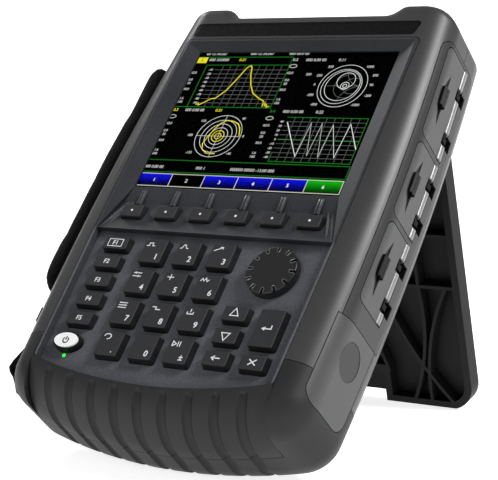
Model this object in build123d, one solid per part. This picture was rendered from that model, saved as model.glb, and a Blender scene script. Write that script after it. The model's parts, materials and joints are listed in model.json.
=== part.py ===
from build123d import *
import math
import os

# A handheld network analyser that stands on its heel and an open kickstand.
# Sizes are in millimetres. Every piece is drawn with the case lying on its back:
# X to the right, Y up the screen, Z out of the screen, origin in the middle of the display.
# stand_up() then leans the finished pieces back until heel and kickstand meet the floor.

# Display and the sloping frame round it
display_width = 132.5
display_height = 99.4
frame_side = 9.3
frame_top = 5.9
frame_rise = 3.0
rim_width = 1.5
panel_corner = 3.0
panel_thickness = 2.5
panel_seam = 0.35
glass_thickness = 1.4
glass_sink = 0.8
glass_lap = 1.0
glass_gap = 0.15
lcd_thickness = 7.0
lcd_border = 2.5

# Soft key band under the display
band_gap = 0.5
band_height = 30.0
band_valley_drop = 10.3
band_valley_depth = 1.5
band_lip = 2.4
finger_rib_width = 3.6
finger_rib_start = 1.8
finger_rib_length = 10.2
finger_rib_height = 2.3
softkey_pitch = 22.86
softkey_count = 6
softkey_width = 13.0
softkey_height = 7.6
softkey_drop = 17.9
softkey_top = 3.2

# Keypad
keypad_depth = 1.4
key_top = 2.8
key_taper = 9.0
key_corner = 1.2
key_edge = 0.45
key_clearance = 0.3
key_flange = 0.9
key_flange_thickness = 1.0
key_travel = 1.2
key_rest_gap = 0.3
keypad_top_margin = 6.1
number_width = 14.2
number_height = 14.5
number_columns = 3
number_rows = 4
column_gap = 7.7
row_gap = 5.2
function_width = 15.6
function_height = 7.4
function_pitch = 12.3
function_count = 5
function_gap = 11.9
arrow_height = 8.3
arrow_pitch = 13.45
arrow_columns = 2
arrow_gap = 9.5
arrow_bottom_drop = 1.6
power_width = 15.4
power_height = 8.8
power_skirt = 1.1
power_drop = 10.5
power_inset = 1.6
led_radius = 1.0
led_drop = 7.4

# Rotary knob and its encoder
knob_radius = 14.5
knob_top = 4.2
knob_lift = 0.5
knob_drop = 14.3
knob_slots = 12
knob_slot_width = 1.5
knob_slot_length = 3.4
knob_slot_depth = 1.4
knob_edge = 0.8
shaft_radius = 3.0
shaft_length = 10.0
shaft_clearance = 0.05
bushing_radius = 4.5
encoder_size = 14.0
encoder_height = 5.5

# Outer case
shoulder_width = 18.5
side_radius = 1750.0
shoulder_radius = 18.0
back_radius = 20.0
case_back = 60.0
split_level = 28.4
split_seam = 0.35
lower_corner_radius = 21.5
wall = 6.0
back_wall = 3.6
ledge_thickness = 4.3
foot_margin = 14.7
foot_taper = 1.9
chin_depth = 22.0
chin_edge_radius = 292.5
nameplate_margin = 2.3
nameplate_height = 9.5
nameplate_inset = 2.6
nameplate_corner = 2.5
nameplate_thickness = 1.2
nameplate_sink = 0.25
rim_margin = 8.1
top_edge_radius = 7.0
ear_rise = 6.8
ear_blend = 9.0
rim_half = 47.5
ear_outer = 76.0
ear_corner = 14.0
ear_overrun = 0.5
ear_dent_radius = 7.0
ear_dent_depth = 2.2
ear_dent_level = 33.0

# Ribbed chin and the boot that wraps heel and lower corners
chin_round = 30.0
chin_lip = 2.0
chin_half = 75.5
boot_rise = 14.0
groove_pitch = 15.2
groove_count = 9
groove_radius = 3.2
groove_depth = 1.9
groove_start = 24.0
groove_end = 60.0

# Right side tray with three hinged doors
tray_front = 5.0
tray_back = 43.5
tray_top = 65.0
tray_bottom = -117.0
tray_depth = 17.0
tray_corner = 8.0
tray_seam = 0.4
door_spans = {"door_upper": (0.7, 62.3), "door_middle": (-51.5, -3.3), "door_lower": (-104.8, -55.4)}
door_front = 9.5
door_thickness = 3.0
door_gap = 0.5
door_corner = 4.0
door_swing = 100.0
hinge_level = 33.2
hinge_barrel = 1.8
hinge_pin = 0.7
hinge_clearance = 0.05
hinge_room = 0.35
notch_length = 8.0
notch_reach = 3.6
notch_spots = (0.22, 0.72)
post_length = 3.0
pin_inset = 1.0
bay_depth = 15.0
bay_margin = 2.2
pull_level = 19.3
pull_length = 12.0
pull_width = 4.6
pull_height = 1.2
pull_lap = 0.8
scoop_length = 35.0
scoop_width = 7.0
scoop_depth = 1.8
socket_spots = (-0.25, 0.05, 0.3)
round_socket_radius = 4.6
round_socket_bore = 3.2
round_socket_height = 5.0
flat_socket_length = 10.0
flat_socket_width = 8.0
flat_socket_height = 5.0
flat_socket_wall = 1.2
socket_floor = 2.0

# Battery door, its push button and the pack behind it
battery_door_end = -167.0
battery_door_front = 3.2
battery_door_back = 40.5
battery_door_corner = 8.0
battery_door_thickness = 6.5
battery_door_gap = 0.4
battery_button_radius = 10.0
battery_button_level = 23.0
battery_button_drop = 17.0
battery_button_gap = 0.2
battery_button_travel = 1.5
battery_button_flange = 1.5
pack_length = 84.0
pack_depth = 25.0
pack_front = 14.0

# Kickstand
stand_hinge_y = 26.0
stand_hinge_level = 58.0
stand_half_width = 80.5
stand_length = 160.0
stand_outer_level = 64.0
stand_inner_level = 54.0
stand_skin = 2.6
stand_rim = 4.5
stand_corner = 16.0
stand_opening = 57.4
stand_pin_radius = 2.0
stand_pin_clearance = 0.05
stand_pin_grip = 3.0
stand_room = 0.6
stand_lug_spot = 0.55
stand_lug_length = 7.0
stand_lug_gap = 0.4
stand_rib = 2.0
stand_rib_bow = 6.0
stand_cross_ribs = (50.0, 82.0)
stand_notch_half = 27.0
stand_notch_rise = 4.0
stand_grip_height = 20.0
rest_flat = 0.5

# Top end with the two test ports
top_panel_half = 44.0
top_panel_drop = 9.0
top_panel_thickness = 3.0
top_panel_front = 13.0
top_panel_back = 45.0
top_seam = 0.2
port_spacing = 64.0
port_level = 29.0
port_thread_radius = 3.5
port_thread_length = 8.0
port_hex = 6.0
port_hex_sides = 6
port_hex_length = 5.0
port_bore = 1.2
port_bore_depth = 5.0
port_clearance = 0.1

# Boards and boxes inside
board_thickness = 1.6
main_board_level = 18.0
rf_module_half = 54.0
rf_module_height = 80.0
rf_module_front = 22.0
rf_module_depth = 24.0
inner_gap = 2.0

# Case screws
screw_radius = 1.5
screw_head_radius = 3.2
screw_head_height = 2.2
screw_length = 40.0
screw_sink = 0.6
screw_clearance = 0.25
tight_gap = 0.02
boss_radius = 4.0
screw_top_inset = 13.0
screw_top_rise = 8.3
screw_foot_inset = 19.0
screw_foot_rise = 11.6

# Hand strap on the left side
strap_gap = 6.8
strap_thickness = 7.0
strap_front = 7.0
strap_back = 53.0
strap_top = 52.0
strap_bottom = -114.0
strap_corner = 12.0
strap_edge = 3.0
webbing_width = 25.0
webbing_thickness = 2.2
webbing_reach = 16.0
webbing_lap = 10.0
anchor_length = 9.0
anchor_height = 7.0
anchor_cheek = 3.0
anchor_gap = 0.4
anchor_sink = 1.5

# Levels and edges that follow from the sizes above
panel_half = display_width / 2 + frame_side + rim_width
case_half = panel_half + shoulder_width
display_top = display_height / 2
panel_top = display_top + frame_top + rim_width
nameplate_bottom = panel_top + nameplate_margin
top_rim = nameplate_bottom + nameplate_height + rim_margin
ear_top = top_rim + ear_rise
band_top = -display_height / 2 - band_gap
band_bottom = band_top - band_height
widest_y = band_bottom
panel_under = keypad_depth + panel_thickness
softkey_y = band_top - softkey_drop
row_tops = [band_bottom - keypad_top_margin - row * (number_height + row_gap) for row in range(number_rows)]
panel_foot = row_tops[-1] - number_height - foot_margin
case_bottom = panel_foot - chin_depth
chin_centre = panel_foot + chin_edge_radius
chin_radius = chin_edge_radius + chin_depth
keypad_columns = number_columns + arrow_columns
keypad_width = (function_width + function_gap + keypad_columns * number_width
                + (keypad_columns - 2) * column_gap + arrow_gap)
function_x = -keypad_width / 2 + function_width / 2
number_x = [function_x + function_width / 2 + function_gap + number_width / 2
            + column * (number_width + column_gap) for column in range(number_columns)]
arrow_x = number_x[-1] + number_width + arrow_gap
enter_x = arrow_x + number_width + column_gap
arrow_low_y = row_tops[-1] - number_height / 2 - arrow_bottom_drop
knob_x = (arrow_x + enter_x) / 2
knob_y = row_tops[0] - knob_drop
power_x = function_x - power_inset
power_y = row_tops[0] - (function_count - 1) * function_pitch - function_height - power_drop
flange_top = -panel_under - key_rest_gap
key_board_top = flange_top - key_flange_thickness - key_travel - key_rest_gap
window_half = display_width / 2 + lcd_border + inner_gap / 2
window_low = row_tops[-1] - number_height - key_flange - 1.5 * inner_gap
boot_line = panel_foot + boot_rise + (chin_edge_radius - math.sqrt(chin_edge_radius ** 2 - chin_half ** 2))
heel_y = case_bottom + back_radius
heel_level = case_back - back_radius
top_panel_y = top_rim - top_panel_drop
screw_spots = [(side * (panel_half - inset), y) for inset, y in (
    (screw_top_inset, display_top + screw_top_rise), (screw_foot_inset, panel_foot + screw_foot_rise))
    for side in (-1, 1)]
far = 400.0
cut_over = 1.0
meeting_error = 1e-9


def block(x_range, y_range, z_range):
    """Box between two corners."""
    middle = [sum(pair) / 2 for pair in (x_range, y_range, z_range)]
    sides = [abs(pair[1] - pair[0]) for pair in (x_range, y_range, z_range)]
    return Pos(*middle) * Box(*sides)


def rod(radius, start, end):
    """Round bar between two points."""
    axis = Vector(*end) - Vector(*start)
    base = Plane(origin=start, z_dir=axis)
    return extrude(base * Circle(radius), axis.length)


def slab(outline, low, high):
    """Prism of a flat outline between two levels."""
    return Pos(0, 0, low) * extrude(outline, high - low)


def side_edge(y):
    """Half width of the case at a height on the screen."""
    return case_half - side_radius + math.sqrt(side_radius ** 2 - (y - widest_y) ** 2)


def bottom_edge(x):
    """Height of the curved bottom of the case."""
    return chin_centre - math.sqrt(chin_radius ** 2 - x ** 2)


def lower_corner():
    """Where the side and the bottom of the case would meet before rounding."""
    x = case_half
    y = bottom_edge(x)
    while abs(side_edge(y) - x) > meeting_error:
        x = side_edge(y)
        y = bottom_edge(x)
    return x, y


def case_plan():
    """Front view of the case, running on past its top."""
    corner_x, corner_y = lower_corner()
    top = ear_top + far / 8
    top_x = side_edge(top)
    edges = [
        ThreePointArc((top_x, top), (case_half, widest_y), (corner_x, corner_y)),
        ThreePointArc((corner_x, corner_y), (0, case_bottom), (-corner_x, corner_y)),
        ThreePointArc((-corner_x, corner_y), (-case_half, widest_y), (-top_x, top)),
        Line((-top_x, top), (top_x, top)),
    ]
    plan = make_face(Curve() + edges)
    return fillet(plan.vertices().sort_by(Axis.Y)[:2], lower_corner_radius)


def round_sides(solid, front_radius, rear_radius):
    """Round the front and rear edges along the sides and the bottom."""
    front = solid.faces().sort_by(Axis.Z)[-1].edges().sort_by(Axis.Y)[:-1]
    solid = fillet(front, front_radius)
    rear = solid.faces().sort_by(Axis.Z)[0].edges().sort_by(Axis.Y)[:-1]
    return fillet(rear, rear_radius)


def open_edges(faces):
    """Edges that border a group of faces."""
    edges = [edge for face in faces for edge in face.edges()]
    return [edge for edge in edges if sum(edge.is_same(other) for other in edges) == 1]


def top_outline():
    """Region below the top rim and the two corner ears."""
    turn = math.acos(1 - ear_rise / (2 * ear_blend))
    blend_x = ear_blend * math.sin(turn)
    half = far / 2
    ear_inner = rim_half + 2 * blend_x
    ear_foot = ear_top - ear_corner
    ear_run = max(ear_corner, side_edge(ear_foot) + ear_overrun - ear_outer)
    right = [
        Line((0, top_rim), (rim_half, top_rim)),
        RadiusArc((rim_half, top_rim), (rim_half + blend_x, top_rim + ear_rise / 2), -ear_blend),
        RadiusArc((rim_half + blend_x, top_rim + ear_rise / 2), (ear_inner, ear_top), ear_blend),
        Line((ear_inner, ear_top), (ear_outer, ear_top)),
        RadiusArc((ear_outer, ear_top), (ear_outer + ear_run, ear_foot), ear_run),
        Line((ear_outer + ear_run, ear_foot), (half, ear_foot)),
        Line((half, ear_foot), (half, -far)),
        Line((half, -far), (0, -far)),
    ]
    left = [mirror(edge, about=Plane.YZ) for edge in right]
    return make_face(Curve() + right + left)


def ear_dents():
    """Shallow dents across the tops of the ears, at the joint of the shells."""
    height = ear_top + ear_dent_radius - ear_dent_depth
    dents = []
    for side in (-1, 1):
        inner = (side * (rim_half + ear_blend), height, -ear_dent_level)
        outer = (side * case_half, height, -ear_dent_level)
        dents.append(rod(ear_dent_radius, inner, outer))
    return dents


def make_case_form():
    """Outer form of the whole case."""
    solid = round_sides(slab(case_plan(), -case_back, frame_rise), shoulder_radius, back_radius)
    solid = solid & slab(top_outline(), -2 * case_back, case_back)
    top_faces = solid.faces().filter_by(lambda face: face.center().Y > top_rim - 1)
    solid = fillet(open_edges(top_faces), top_edge_radius)
    return solid - ear_dents()


case_form = make_case_form()


def chin_disc(grow, low, high):
    """Everything on the screen's side of the chin's upper edge."""
    return Pos(0, chin_centre, low) * extrude(Circle(chin_edge_radius + grow), high - low)


def panel_plan(grow, foot_grow):
    """Outline of the front panel, grown on its sides and top and apart from that at its foot."""
    half = panel_half + grow
    top = panel_top + grow
    radius = chin_edge_radius + foot_grow
    foot_half = half - foot_taper
    foot_y = chin_centre - math.sqrt(radius ** 2 - foot_half ** 2)
    edges = [
        Polyline((-foot_half, foot_y), (-half, band_bottom), (-half, top), (half, top),
                 (half, band_bottom), (foot_half, foot_y)),
        ThreePointArc((foot_half, foot_y), (0, chin_centre - radius), (-foot_half, foot_y)),
    ]
    plan = make_face(Curve() + edges)
    corners = plan.vertices().filter_by(lambda spot: abs(spot.Y - band_bottom) > panel_corner)
    return fillet(corners, panel_corner)


def key_layout():
    """Name, place, plan size and top level of every key on the front."""
    keys = []
    for index in range(softkey_count):
        x = (index - (softkey_count - 1) / 2) * softkey_pitch
        keys.append((f"softkey_{index + 1}", x, softkey_y, softkey_width, softkey_height, softkey_top))
    for index in range(function_count):
        y = row_tops[0] - function_height / 2 - index * function_pitch
        keys.append((f"function_key_{index + 1}", function_x, y, function_width, function_height, key_top))
    labels = (("key_1", "key_2", "key_3"), ("key_4", "key_5", "key_6"),
              ("key_7", "key_8", "key_9"), ("key_point", "key_0", "key_sign"))
    for top, row in zip(row_tops, labels):
        for x, name in zip(number_x, row):
            keys.append((name, x, top - number_height / 2, number_width, number_height, key_top))
    for step, name in ((0, "key_back"), (1, "key_down"), (2, "key_up")):
        keys.append((name, arrow_x, arrow_low_y + step * arrow_pitch, number_width, arrow_height, key_top))
    keys.append(("key_escape", enter_x, arrow_low_y, number_width, arrow_height, key_top))
    enter_y = arrow_low_y + 1.5 * arrow_pitch
    keys.append(("key_enter", enter_x, enter_y, number_width, arrow_height + arrow_pitch, key_top))
    return keys


def key_flare(top):
    """How far a key's foot stands out past its top face on each side."""
    return (top + keypad_depth) * math.tan(math.radians(key_taper))


def key_foot(width, height, top, grow):
    """Plan of a key where it passes through the panel."""
    flare = 2 * (key_flare(top) + grow)
    return RectangleRounded(width + flare, height + flare, key_corner + grow)


def make_key(width, height, top):
    """One push key: tapered cap, straight neck and a flange under the panel."""
    foot = key_foot(width, height, top, 0)
    cap = Pos(0, 0, -keypad_depth) * extrude(foot, top + keypad_depth, taper=key_taper)
    cap = fillet(cap.faces().sort_by(Axis.Z)[-1].edges(), key_edge)
    neck = slab(foot, flange_top, -keypad_depth)
    flange = slab(key_foot(width, height, top, key_flange), flange_top - key_flange_thickness, flange_top)
    return cap + neck + flange


def power_plan(grow):
    """Oval outline of the power button."""
    return Ellipse(power_width / 2 + grow, power_height / 2 + grow)


def make_power_button():
    """Oval power button with a raised cap on a wider skirt."""
    cap = slab(power_plan(0), -keypad_depth, key_top)
    skirt = slab(power_plan(power_skirt), flange_top, key_top - power_skirt)
    flange = slab(power_plan(power_skirt + key_flange), flange_top - key_flange_thickness, flange_top)
    return Pos(power_x, power_y) * (cap + skirt + flange)


def band_body():
    """Material under the curved floor of the soft key band."""
    valley = band_top - band_valley_drop
    outline = Polyline((band_top, -case_back), (band_top, 0), (valley, -band_valley_depth),
                       (band_bottom, band_lip), (band_bottom, -case_back), close=True)
    return extrude(Plane.YZ * make_face(outline), panel_half, both=True)


def screen_well():
    """Space above the display and the soft key band, with sloping sides."""
    half = display_width / 2
    rim = half + frame_side
    low = Pos(0, (band_bottom + display_top) / 2) * Rectangle(2 * half, display_top - band_bottom)
    high_top = display_top + frame_top
    high = Pos(0, (band_bottom + high_top) / 2, frame_rise) * Rectangle(2 * rim, high_top - band_bottom)
    slope = loft([low.face(), high.face()], ruled=True)
    trapezoid = make_face(Polyline((-half, band_top), (half, band_top), (rim, band_bottom),
                                   (-rim, band_bottom), close=True))
    return slope + slab(trapezoid, -panel_under, frame_rise)


def finger_ribs():
    """Rounded guide ribs between the display and the soft keys."""
    ribs = []
    start = band_top - finger_rib_start
    end = start - finger_rib_length
    floor = -panel_under + panel_thickness / 2
    for index in range(softkey_count):
        x = (index - (softkey_count - 1) / 2) * softkey_pitch
        rib = block((x - finger_rib_width / 2, x + finger_rib_width / 2), (end, start),
                    (floor, finger_rib_height - band_valley_depth))
        crest = rib.edges().filter_by(Axis.Y).sort_by(Axis.Z)[-2:]
        ribs.append(fillet(crest, finger_rib_width / 3))
    return ribs


def display_rectangle(grow):
    """Outline of the display, grown on all sides."""
    return Rectangle(display_width + 2 * grow, display_height + 2 * grow)


def make_front_panel():
    """Front panel: sloping frame, soft key band and recessed keypad deck with its holes."""
    panel = case_form & slab(panel_plan(0, 0), -panel_under, frame_rise)
    panel -= screen_well() - band_body()
    panel += finger_ribs()
    below_band = Pos(0, band_bottom - far / 2) * Rectangle(far, far)
    panel -= slab(panel_plan(-rim_width, panel_corner) & below_band, -keypad_depth, frame_rise)
    panel -= slab(display_rectangle(0), -panel_under, frame_rise)
    panel -= slab(display_rectangle(glass_lap + glass_gap), -panel_under, -glass_sink)
    for _, x, y, width, height, top in key_layout():
        panel -= Pos(x, y) * slab(key_foot(width, height, top, key_clearance), -panel_under, frame_rise)
    panel -= Pos(power_x, power_y) * slab(power_plan(power_skirt + key_clearance), -panel_under, frame_rise)
    panel -= rod(bushing_radius, (knob_x, knob_y, -panel_under), (knob_x, knob_y, frame_rise))
    panel -= rod(led_radius, (power_x, power_y - led_drop, -panel_under), (power_x, power_y - led_drop, 0))
    return panel


def make_display_window():
    """Clear window over the display."""
    return slab(display_rectangle(glass_lap), -glass_sink - glass_thickness, -glass_sink)


def make_lcd_module():
    """Flat display panel right behind the window."""
    top = -max(panel_under, glass_sink + glass_thickness)
    return slab(display_rectangle(lcd_border), top - lcd_thickness, top)


def make_status_led():
    """Small lamp under the power button."""
    y = power_y - led_drop
    return rod(led_radius, (power_x, y, -panel_under), (power_x, y, -keypad_depth + led_radius / 4))


def nameplate_plan(grow):
    """Long plate above the display, slanted at its right end."""
    half = panel_half - nameplate_inset + grow
    low = nameplate_bottom - grow
    high = nameplate_bottom + nameplate_height + grow
    plan = make_face(Polyline((-half, low), (half - nameplate_corner, low), (half, high), (-half, high),
                              close=True))
    return fillet(plan.vertices(), nameplate_corner)


def make_nameplate():
    """Bare plate let into the case above the display."""
    floor = -nameplate_sink - nameplate_thickness
    plate = Pos(0, 0, -nameplate_sink) * case_form & slab(nameplate_plan(0), floor, frame_rise)
    return plate


def nameplate_pocket():
    """Recess for the nameplate."""
    return slab(nameplate_plan(panel_seam), -nameplate_sink - nameplate_thickness, case_back)


def make_knob():
    """Rotary knob on its shaft, with slots cut round its rim."""
    foot = -keypad_depth + knob_lift
    knob = rod(knob_radius, (0, 0, foot), (0, 0, knob_top))
    knob = fillet(knob.edges().sort_by(Axis.Z)[-1], knob_edge)
    slot = block((knob_radius - knob_slot_length, knob_radius + cut_over),
                 (-knob_slot_width / 2, knob_slot_width / 2),
                 (knob_top - knob_slot_depth, knob_top + cut_over))
    knob -= [Rot(Z=index * 360 / knob_slots) * slot for index in range(knob_slots)]
    knob += rod(shaft_radius, (0, 0, foot - shaft_length), (0, 0, foot))
    return Pos(knob_x, knob_y) * knob


def make_encoder():
    """Rotary encoder under the knob, with a bushing that the shaft turns in."""
    foot = key_board_top - board_thickness - panel_seam
    half = encoder_size / 2
    body = block((-half, half), (-half, half), (foot - encoder_height, foot))
    body += rod(bushing_radius - key_clearance, (0, 0, foot), (0, 0, -panel_under))
    body -= rod(shaft_radius + shaft_clearance, (0, 0, foot - 2 * encoder_height), (0, 0, 0))
    return Pos(knob_x, knob_y) * body


def make_keypad_board():
    """Circuit board with the key contacts."""
    half = keypad_width / 2 + inner_gap
    top = -display_height / 2 - lcd_border - inner_gap
    low = window_low + inner_gap / 4
    board = block((-half, half), (low, top), (key_board_top - board_thickness, key_board_top))
    board -= screw_holes(boss_radius + inner_gap / 4, -case_back, 0)
    return board - rod(bushing_radius, (knob_x, knob_y, -case_back), (knob_x, knob_y, 0))


def chin_sides(front):
    """Case form with a higher front, which the chin is cut from."""
    return round_sides(slab(case_plan(), -case_back, front), shoulder_radius, back_radius)


def groove_shift(x):
    """How far the curved bottom rises away from the middle."""
    return bottom_edge(x) - case_bottom


def groove_cutters():
    """Round-bottomed grooves that run from the chin round to the heel."""
    offset = groove_radius - groove_depth
    front_reach = chin_round + offset
    heel_reach = back_radius + offset
    front_y = case_bottom + chin_round
    front_z = frame_rise + chin_lip - chin_round
    cutters = []
    for index in range(groove_count):
        x = (index - (groove_count - 1) / 2) * groove_pitch
        lift = groove_shift(x)
        across = Plane(origin=(x, lift, 0), x_dir=(0, 1, 0), z_dir=(1, 0, 0))
        front = CenterArc((front_y, front_z), front_reach, 90 + groove_start, 90 - groove_start)
        middle = Line((front_y - front_reach, front_z), (heel_y - heel_reach, -heel_level))
        heel = CenterArc((heel_y, -heel_level), heel_reach, 180, groove_end)
        path = across * (Curve() + [front, middle, heel])
        wire = path.wire()
        section = Plane(origin=wire @ 0, z_dir=wire % 0) * Circle(groove_radius)
        cutters.append(sweep(section, path=wire))
        cutters.append(Pos(*(wire @ 0)) * Sphere(groove_radius))
    return cutters


def make_front_bumper(grooves):
    """Ribbed rubber chin in front."""
    inner = chin_edge_radius + panel_seam
    front_z = frame_rise + chin_lip - chin_round
    centre = chin_radius - chin_round
    rim_z = front_z + math.sqrt(chin_round ** 2 - (inner - centre) ** 2)
    middle = (centre + chin_round * math.sin(math.pi / 4), front_z + chin_round * math.cos(math.pi / 4))
    outline = Curve() + [
        Line((inner, -split_level), (inner, rim_z)),
        ThreePointArc((inner, rim_z), middle, (chin_radius, front_z)),
        Polyline((chin_radius, front_z), (chin_radius, -split_level), (inner, -split_level)),
    ]
    profile = Plane(origin=(0, chin_centre, 0), x_dir=(0, -1, 0), z_dir=(-1, 0, 0)) * make_face(outline)
    ring = revolve(profile, Axis((0, chin_centre, 0), (0, 0, 1)), 360)
    chin = ring & chin_sides(frame_rise + chin_lip)
    chin = chin & block((-chin_half, chin_half), (-far, 0), (-split_level, case_back))
    return chin - battery_room() - grooves


def chin_room(grow):
    """Space that the ribbed chin takes out of the boot."""
    half = chin_half + grow
    room = block((-half, half), (-far, 0), (-split_level - grow, case_back))
    return room - chin_disc(0, -case_back, case_back)


def boot_region(grow):
    """Space below the shells: the heel and both lower corners."""
    half = chin_half + panel_seam - grow
    line = boot_line + grow
    corners = [block(side, (-far, line), (-far, far)) for side in ((-far, -half), (half, far))]
    return block((-far, far), (-far, 0), (-far, far)) - chin_disc(panel_seam - grow, -far, far) + corners


def floor_cut():
    """Everything below the floor, as seen from the case lying on its back."""
    return Location((0, 0, 0), (-lean, 0, 0)) * block((-far, far), (-far, far), (-far, floor_height))


def make_rear_bumper(grooves):
    """Rubber boot round the heel and the lower corners."""
    boot = case_form & boot_region(0)
    boot -= chin_room(panel_seam)
    boot -= battery_room()
    boot -= cavity()
    boot -= grooves
    return boot - floor_cut()


def tray_plan(grow):
    """Side view of the tray: Y up the case, X towards the front."""
    low = -tray_back - grow
    high = -tray_front + grow
    plan = make_face(Polyline((low, tray_bottom - grow), (high, tray_bottom - grow), (high, tray_top + grow),
                              (low, tray_top + grow), close=True))
    return fillet(plan.vertices().sort_by(Axis.Y)[-2:], tray_corner + grow)


def side_prism(outline, inner):
    """Prism of a side view outline, from a distance right of the middle outwards."""
    side = Plane(origin=(inner, 0, 0), x_dir=(0, 0, 1), z_dir=(-1, 0, 0))
    return extrude(side * outline, -far / 4)


def tray_inner():
    """Distance of the tray's inner face from the middle of the case."""
    return side_edge(tray_top) - tray_depth


def door_frame(span):
    """Frame on the side of the case at the middle of a door, X pointing outwards."""
    y = sum(span) / 2
    tilt = math.degrees(math.asin((y - widest_y) / side_radius))
    return Pos(side_edge(y), y) * Rot(Z=tilt)


def door_length(span):
    """Length of a door along the side."""
    return span[1] - span[0]


def door_plate(span, grow, depth, reach):
    """Prism over a door, rounded at its front corners, in the door's frame."""
    half = door_length(span) / 2 + grow
    plan = make_face(Polyline((-half, -hinge_level), (-half, -door_front + grow), (half, -door_front + grow),
                              (half, -hinge_level), close=True))
    plan = fillet(plan.vertices().sort_by(Axis.Y)[-2:], door_corner + grow)
    return extrude(Plane(origin=(-depth, 0, 0), x_dir=(0, 1, 0), z_dir=(1, 0, 0)) * plan, depth + reach)


def hinge_line(span, radius, grow):
    """Round bar along a door's hinge axis, in the door's frame."""
    half = door_length(span) / 2 + grow
    return rod(radius, (-hinge_barrel, -half, -hinge_level), (-hinge_barrel, half, -hinge_level))


def notch_places(span):
    """Where the hinge posts stand along a door."""
    return [(spot - 0.5) * door_length(span) for spot in notch_spots]


def hinge_sweep():
    """Radius kept clear round a hinge axis for the swinging door."""
    turn = math.radians(door_swing - 90)
    reach = hinge_barrel * (1 + math.sin(turn)) / math.cos(turn)
    return math.hypot(hinge_barrel, reach) + hinge_room


def door_scoop():
    """Finger scoop in a door: deepest along its straight rear edge."""
    radius = scoop_length ** 2 / (8 * scoop_depth) + scoop_depth / 2
    tilt = math.degrees(math.atan2(scoop_depth, scoop_width))
    bar = Rot(Y=tilt) * Pos(radius - scoop_depth) * Cylinder(radius, 2 * scoop_length)
    ahead = block((-far, far), (-far, far), (0, far))
    return Pos(0, 0, -pull_level) * (bar & ahead)


def door_pull():
    """Finger tab that stands up from the rear edge of the scoop."""
    root = -(scoop_depth + door_thickness) / 2
    tab = block((root, pull_height), (-pull_length / 2, pull_length / 2), (-pull_lap, pull_width))
    tab = fillet(tab.edges().filter_by(Axis.Z).sort_by(Axis.X)[-2:], pull_height)
    return Pos(0, 0, -pull_level) * tab


def make_door(span):
    """Hinged side door with barrel, scoop and pull tab."""
    frame = door_frame(span)
    door = case_form & frame * door_plate(span, 0, door_thickness, far / 10)
    door -= frame * door_scoop()
    door += frame * door_pull()
    door += frame * hinge_line(span, hinge_barrel, 0)
    for y in notch_places(span):
        door -= frame * block((-far / 8, far / 8), (y - notch_length / 2, y + notch_length / 2),
                              (-hinge_level - notch_reach, -hinge_level + notch_reach))
    return door - frame * hinge_line(span, hinge_pin + hinge_clearance, cut_over)


def make_side_tray():
    """Side tray: three connector bays with sills, hinge posts and clear hinge channels."""
    tray = case_form & side_prism(tray_plan(0), tray_inner())
    for span in door_spans.values():
        frame = door_frame(span)
        half = door_length(span) / 2 - bay_margin
        tray -= frame * door_plate(span, door_gap, door_thickness + door_gap, far / 10)
        tray -= frame * block((-bay_depth, far / 10), (-half, half),
                              (-hinge_level + notch_reach, -door_front - bay_margin))
        tray -= frame * hinge_line(span, hinge_sweep(), door_gap)
        for y in notch_places(span):
            tray -= frame * block((-notch_reach - hinge_barrel, far / 10),
                                  (y - notch_length / 2, y + notch_length / 2),
                                  (-hinge_level - 2 * notch_reach, -hinge_level + notch_reach))
            tray += frame * hinge_post(y)
    return tray


def hinge_post(y):
    """Post that carries a hinge pin, in the door's frame."""
    post = block((-notch_reach - 2 * hinge_barrel, -hinge_room), (y - post_length / 2, y + post_length / 2),
                 (-hinge_level - hinge_barrel, -hinge_level + hinge_barrel))
    return post - rod(hinge_pin + tight_gap, (-hinge_barrel, y - post_length, -hinge_level),
                      (-hinge_barrel, y + post_length, -hinge_level))


def make_hinge_pins():
    """Hinge pins of the three side doors."""
    return [door_frame(span) * hinge_line(span, hinge_pin, -pin_inset) for span in door_spans.values()]


def round_socket(y, level):
    """Round socket on the floor of a bay, in the door's frame."""
    foot = -bay_depth
    top = foot + round_socket_height
    shell = rod(round_socket_radius, (foot, y, level), (top, y, level))
    return shell - rod(round_socket_bore, (foot + socket_floor, y, level), (top + cut_over, y, level))


def flat_socket(y, level):
    """Square socket on the floor of a bay, in the door's frame."""
    foot = -bay_depth
    top = foot + flat_socket_height
    half_length = flat_socket_length / 2
    half_width = flat_socket_width / 2
    shell = block((foot, top), (y - half_length, y + half_length), (level - half_width, level + half_width))
    half_length -= flat_socket_wall
    half_width -= flat_socket_wall
    return shell - block((foot + socket_floor, top + cut_over), (y - half_length, y + half_length),
                         (level - half_width, level + half_width))


def make_side_connectors():
    """Sockets on the floors of the three bays, round ones under the upper door."""
    sockets = []
    level = -(door_front + hinge_level) / 2
    for name, span in door_spans.items():
        make_socket = round_socket if name == "door_upper" else flat_socket
        for spot in socket_spots:
            sockets.append(door_frame(span) * make_socket(spot * door_length(span), level))
    return sockets


def battery_door_prism(grow, inner):
    """Prism over the battery door, from a distance right of the middle outwards."""
    top = tray_bottom - battery_door_gap + grow
    low = battery_door_end - grow
    front = -battery_door_front + grow
    rear = -battery_door_back - grow
    plan = make_face(Polyline((rear, low), (front, low), (front, top), (rear, top), close=True))
    plan = fillet(plan.vertices().sort_by(Axis.Y)[:2], battery_door_corner + grow)
    return side_prism(plan, inner)


def battery_door_inner():
    """Distance of the battery door's inner face from the middle of the case."""
    return side_edge(battery_door_end) - battery_door_thickness


def button_line(radius, start, end):
    """Round bar along the battery button's axis."""
    y = tray_bottom - battery_button_drop
    return rod(radius, (start, y, -battery_button_level), (end, y, -battery_button_level))


def make_battery_door():
    """Battery door with a round hole for its button."""
    inner = battery_door_inner()
    door = case_form & battery_door_prism(0, inner)
    return door - button_line(battery_button_radius + battery_button_gap, inner - cut_over, far)


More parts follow.
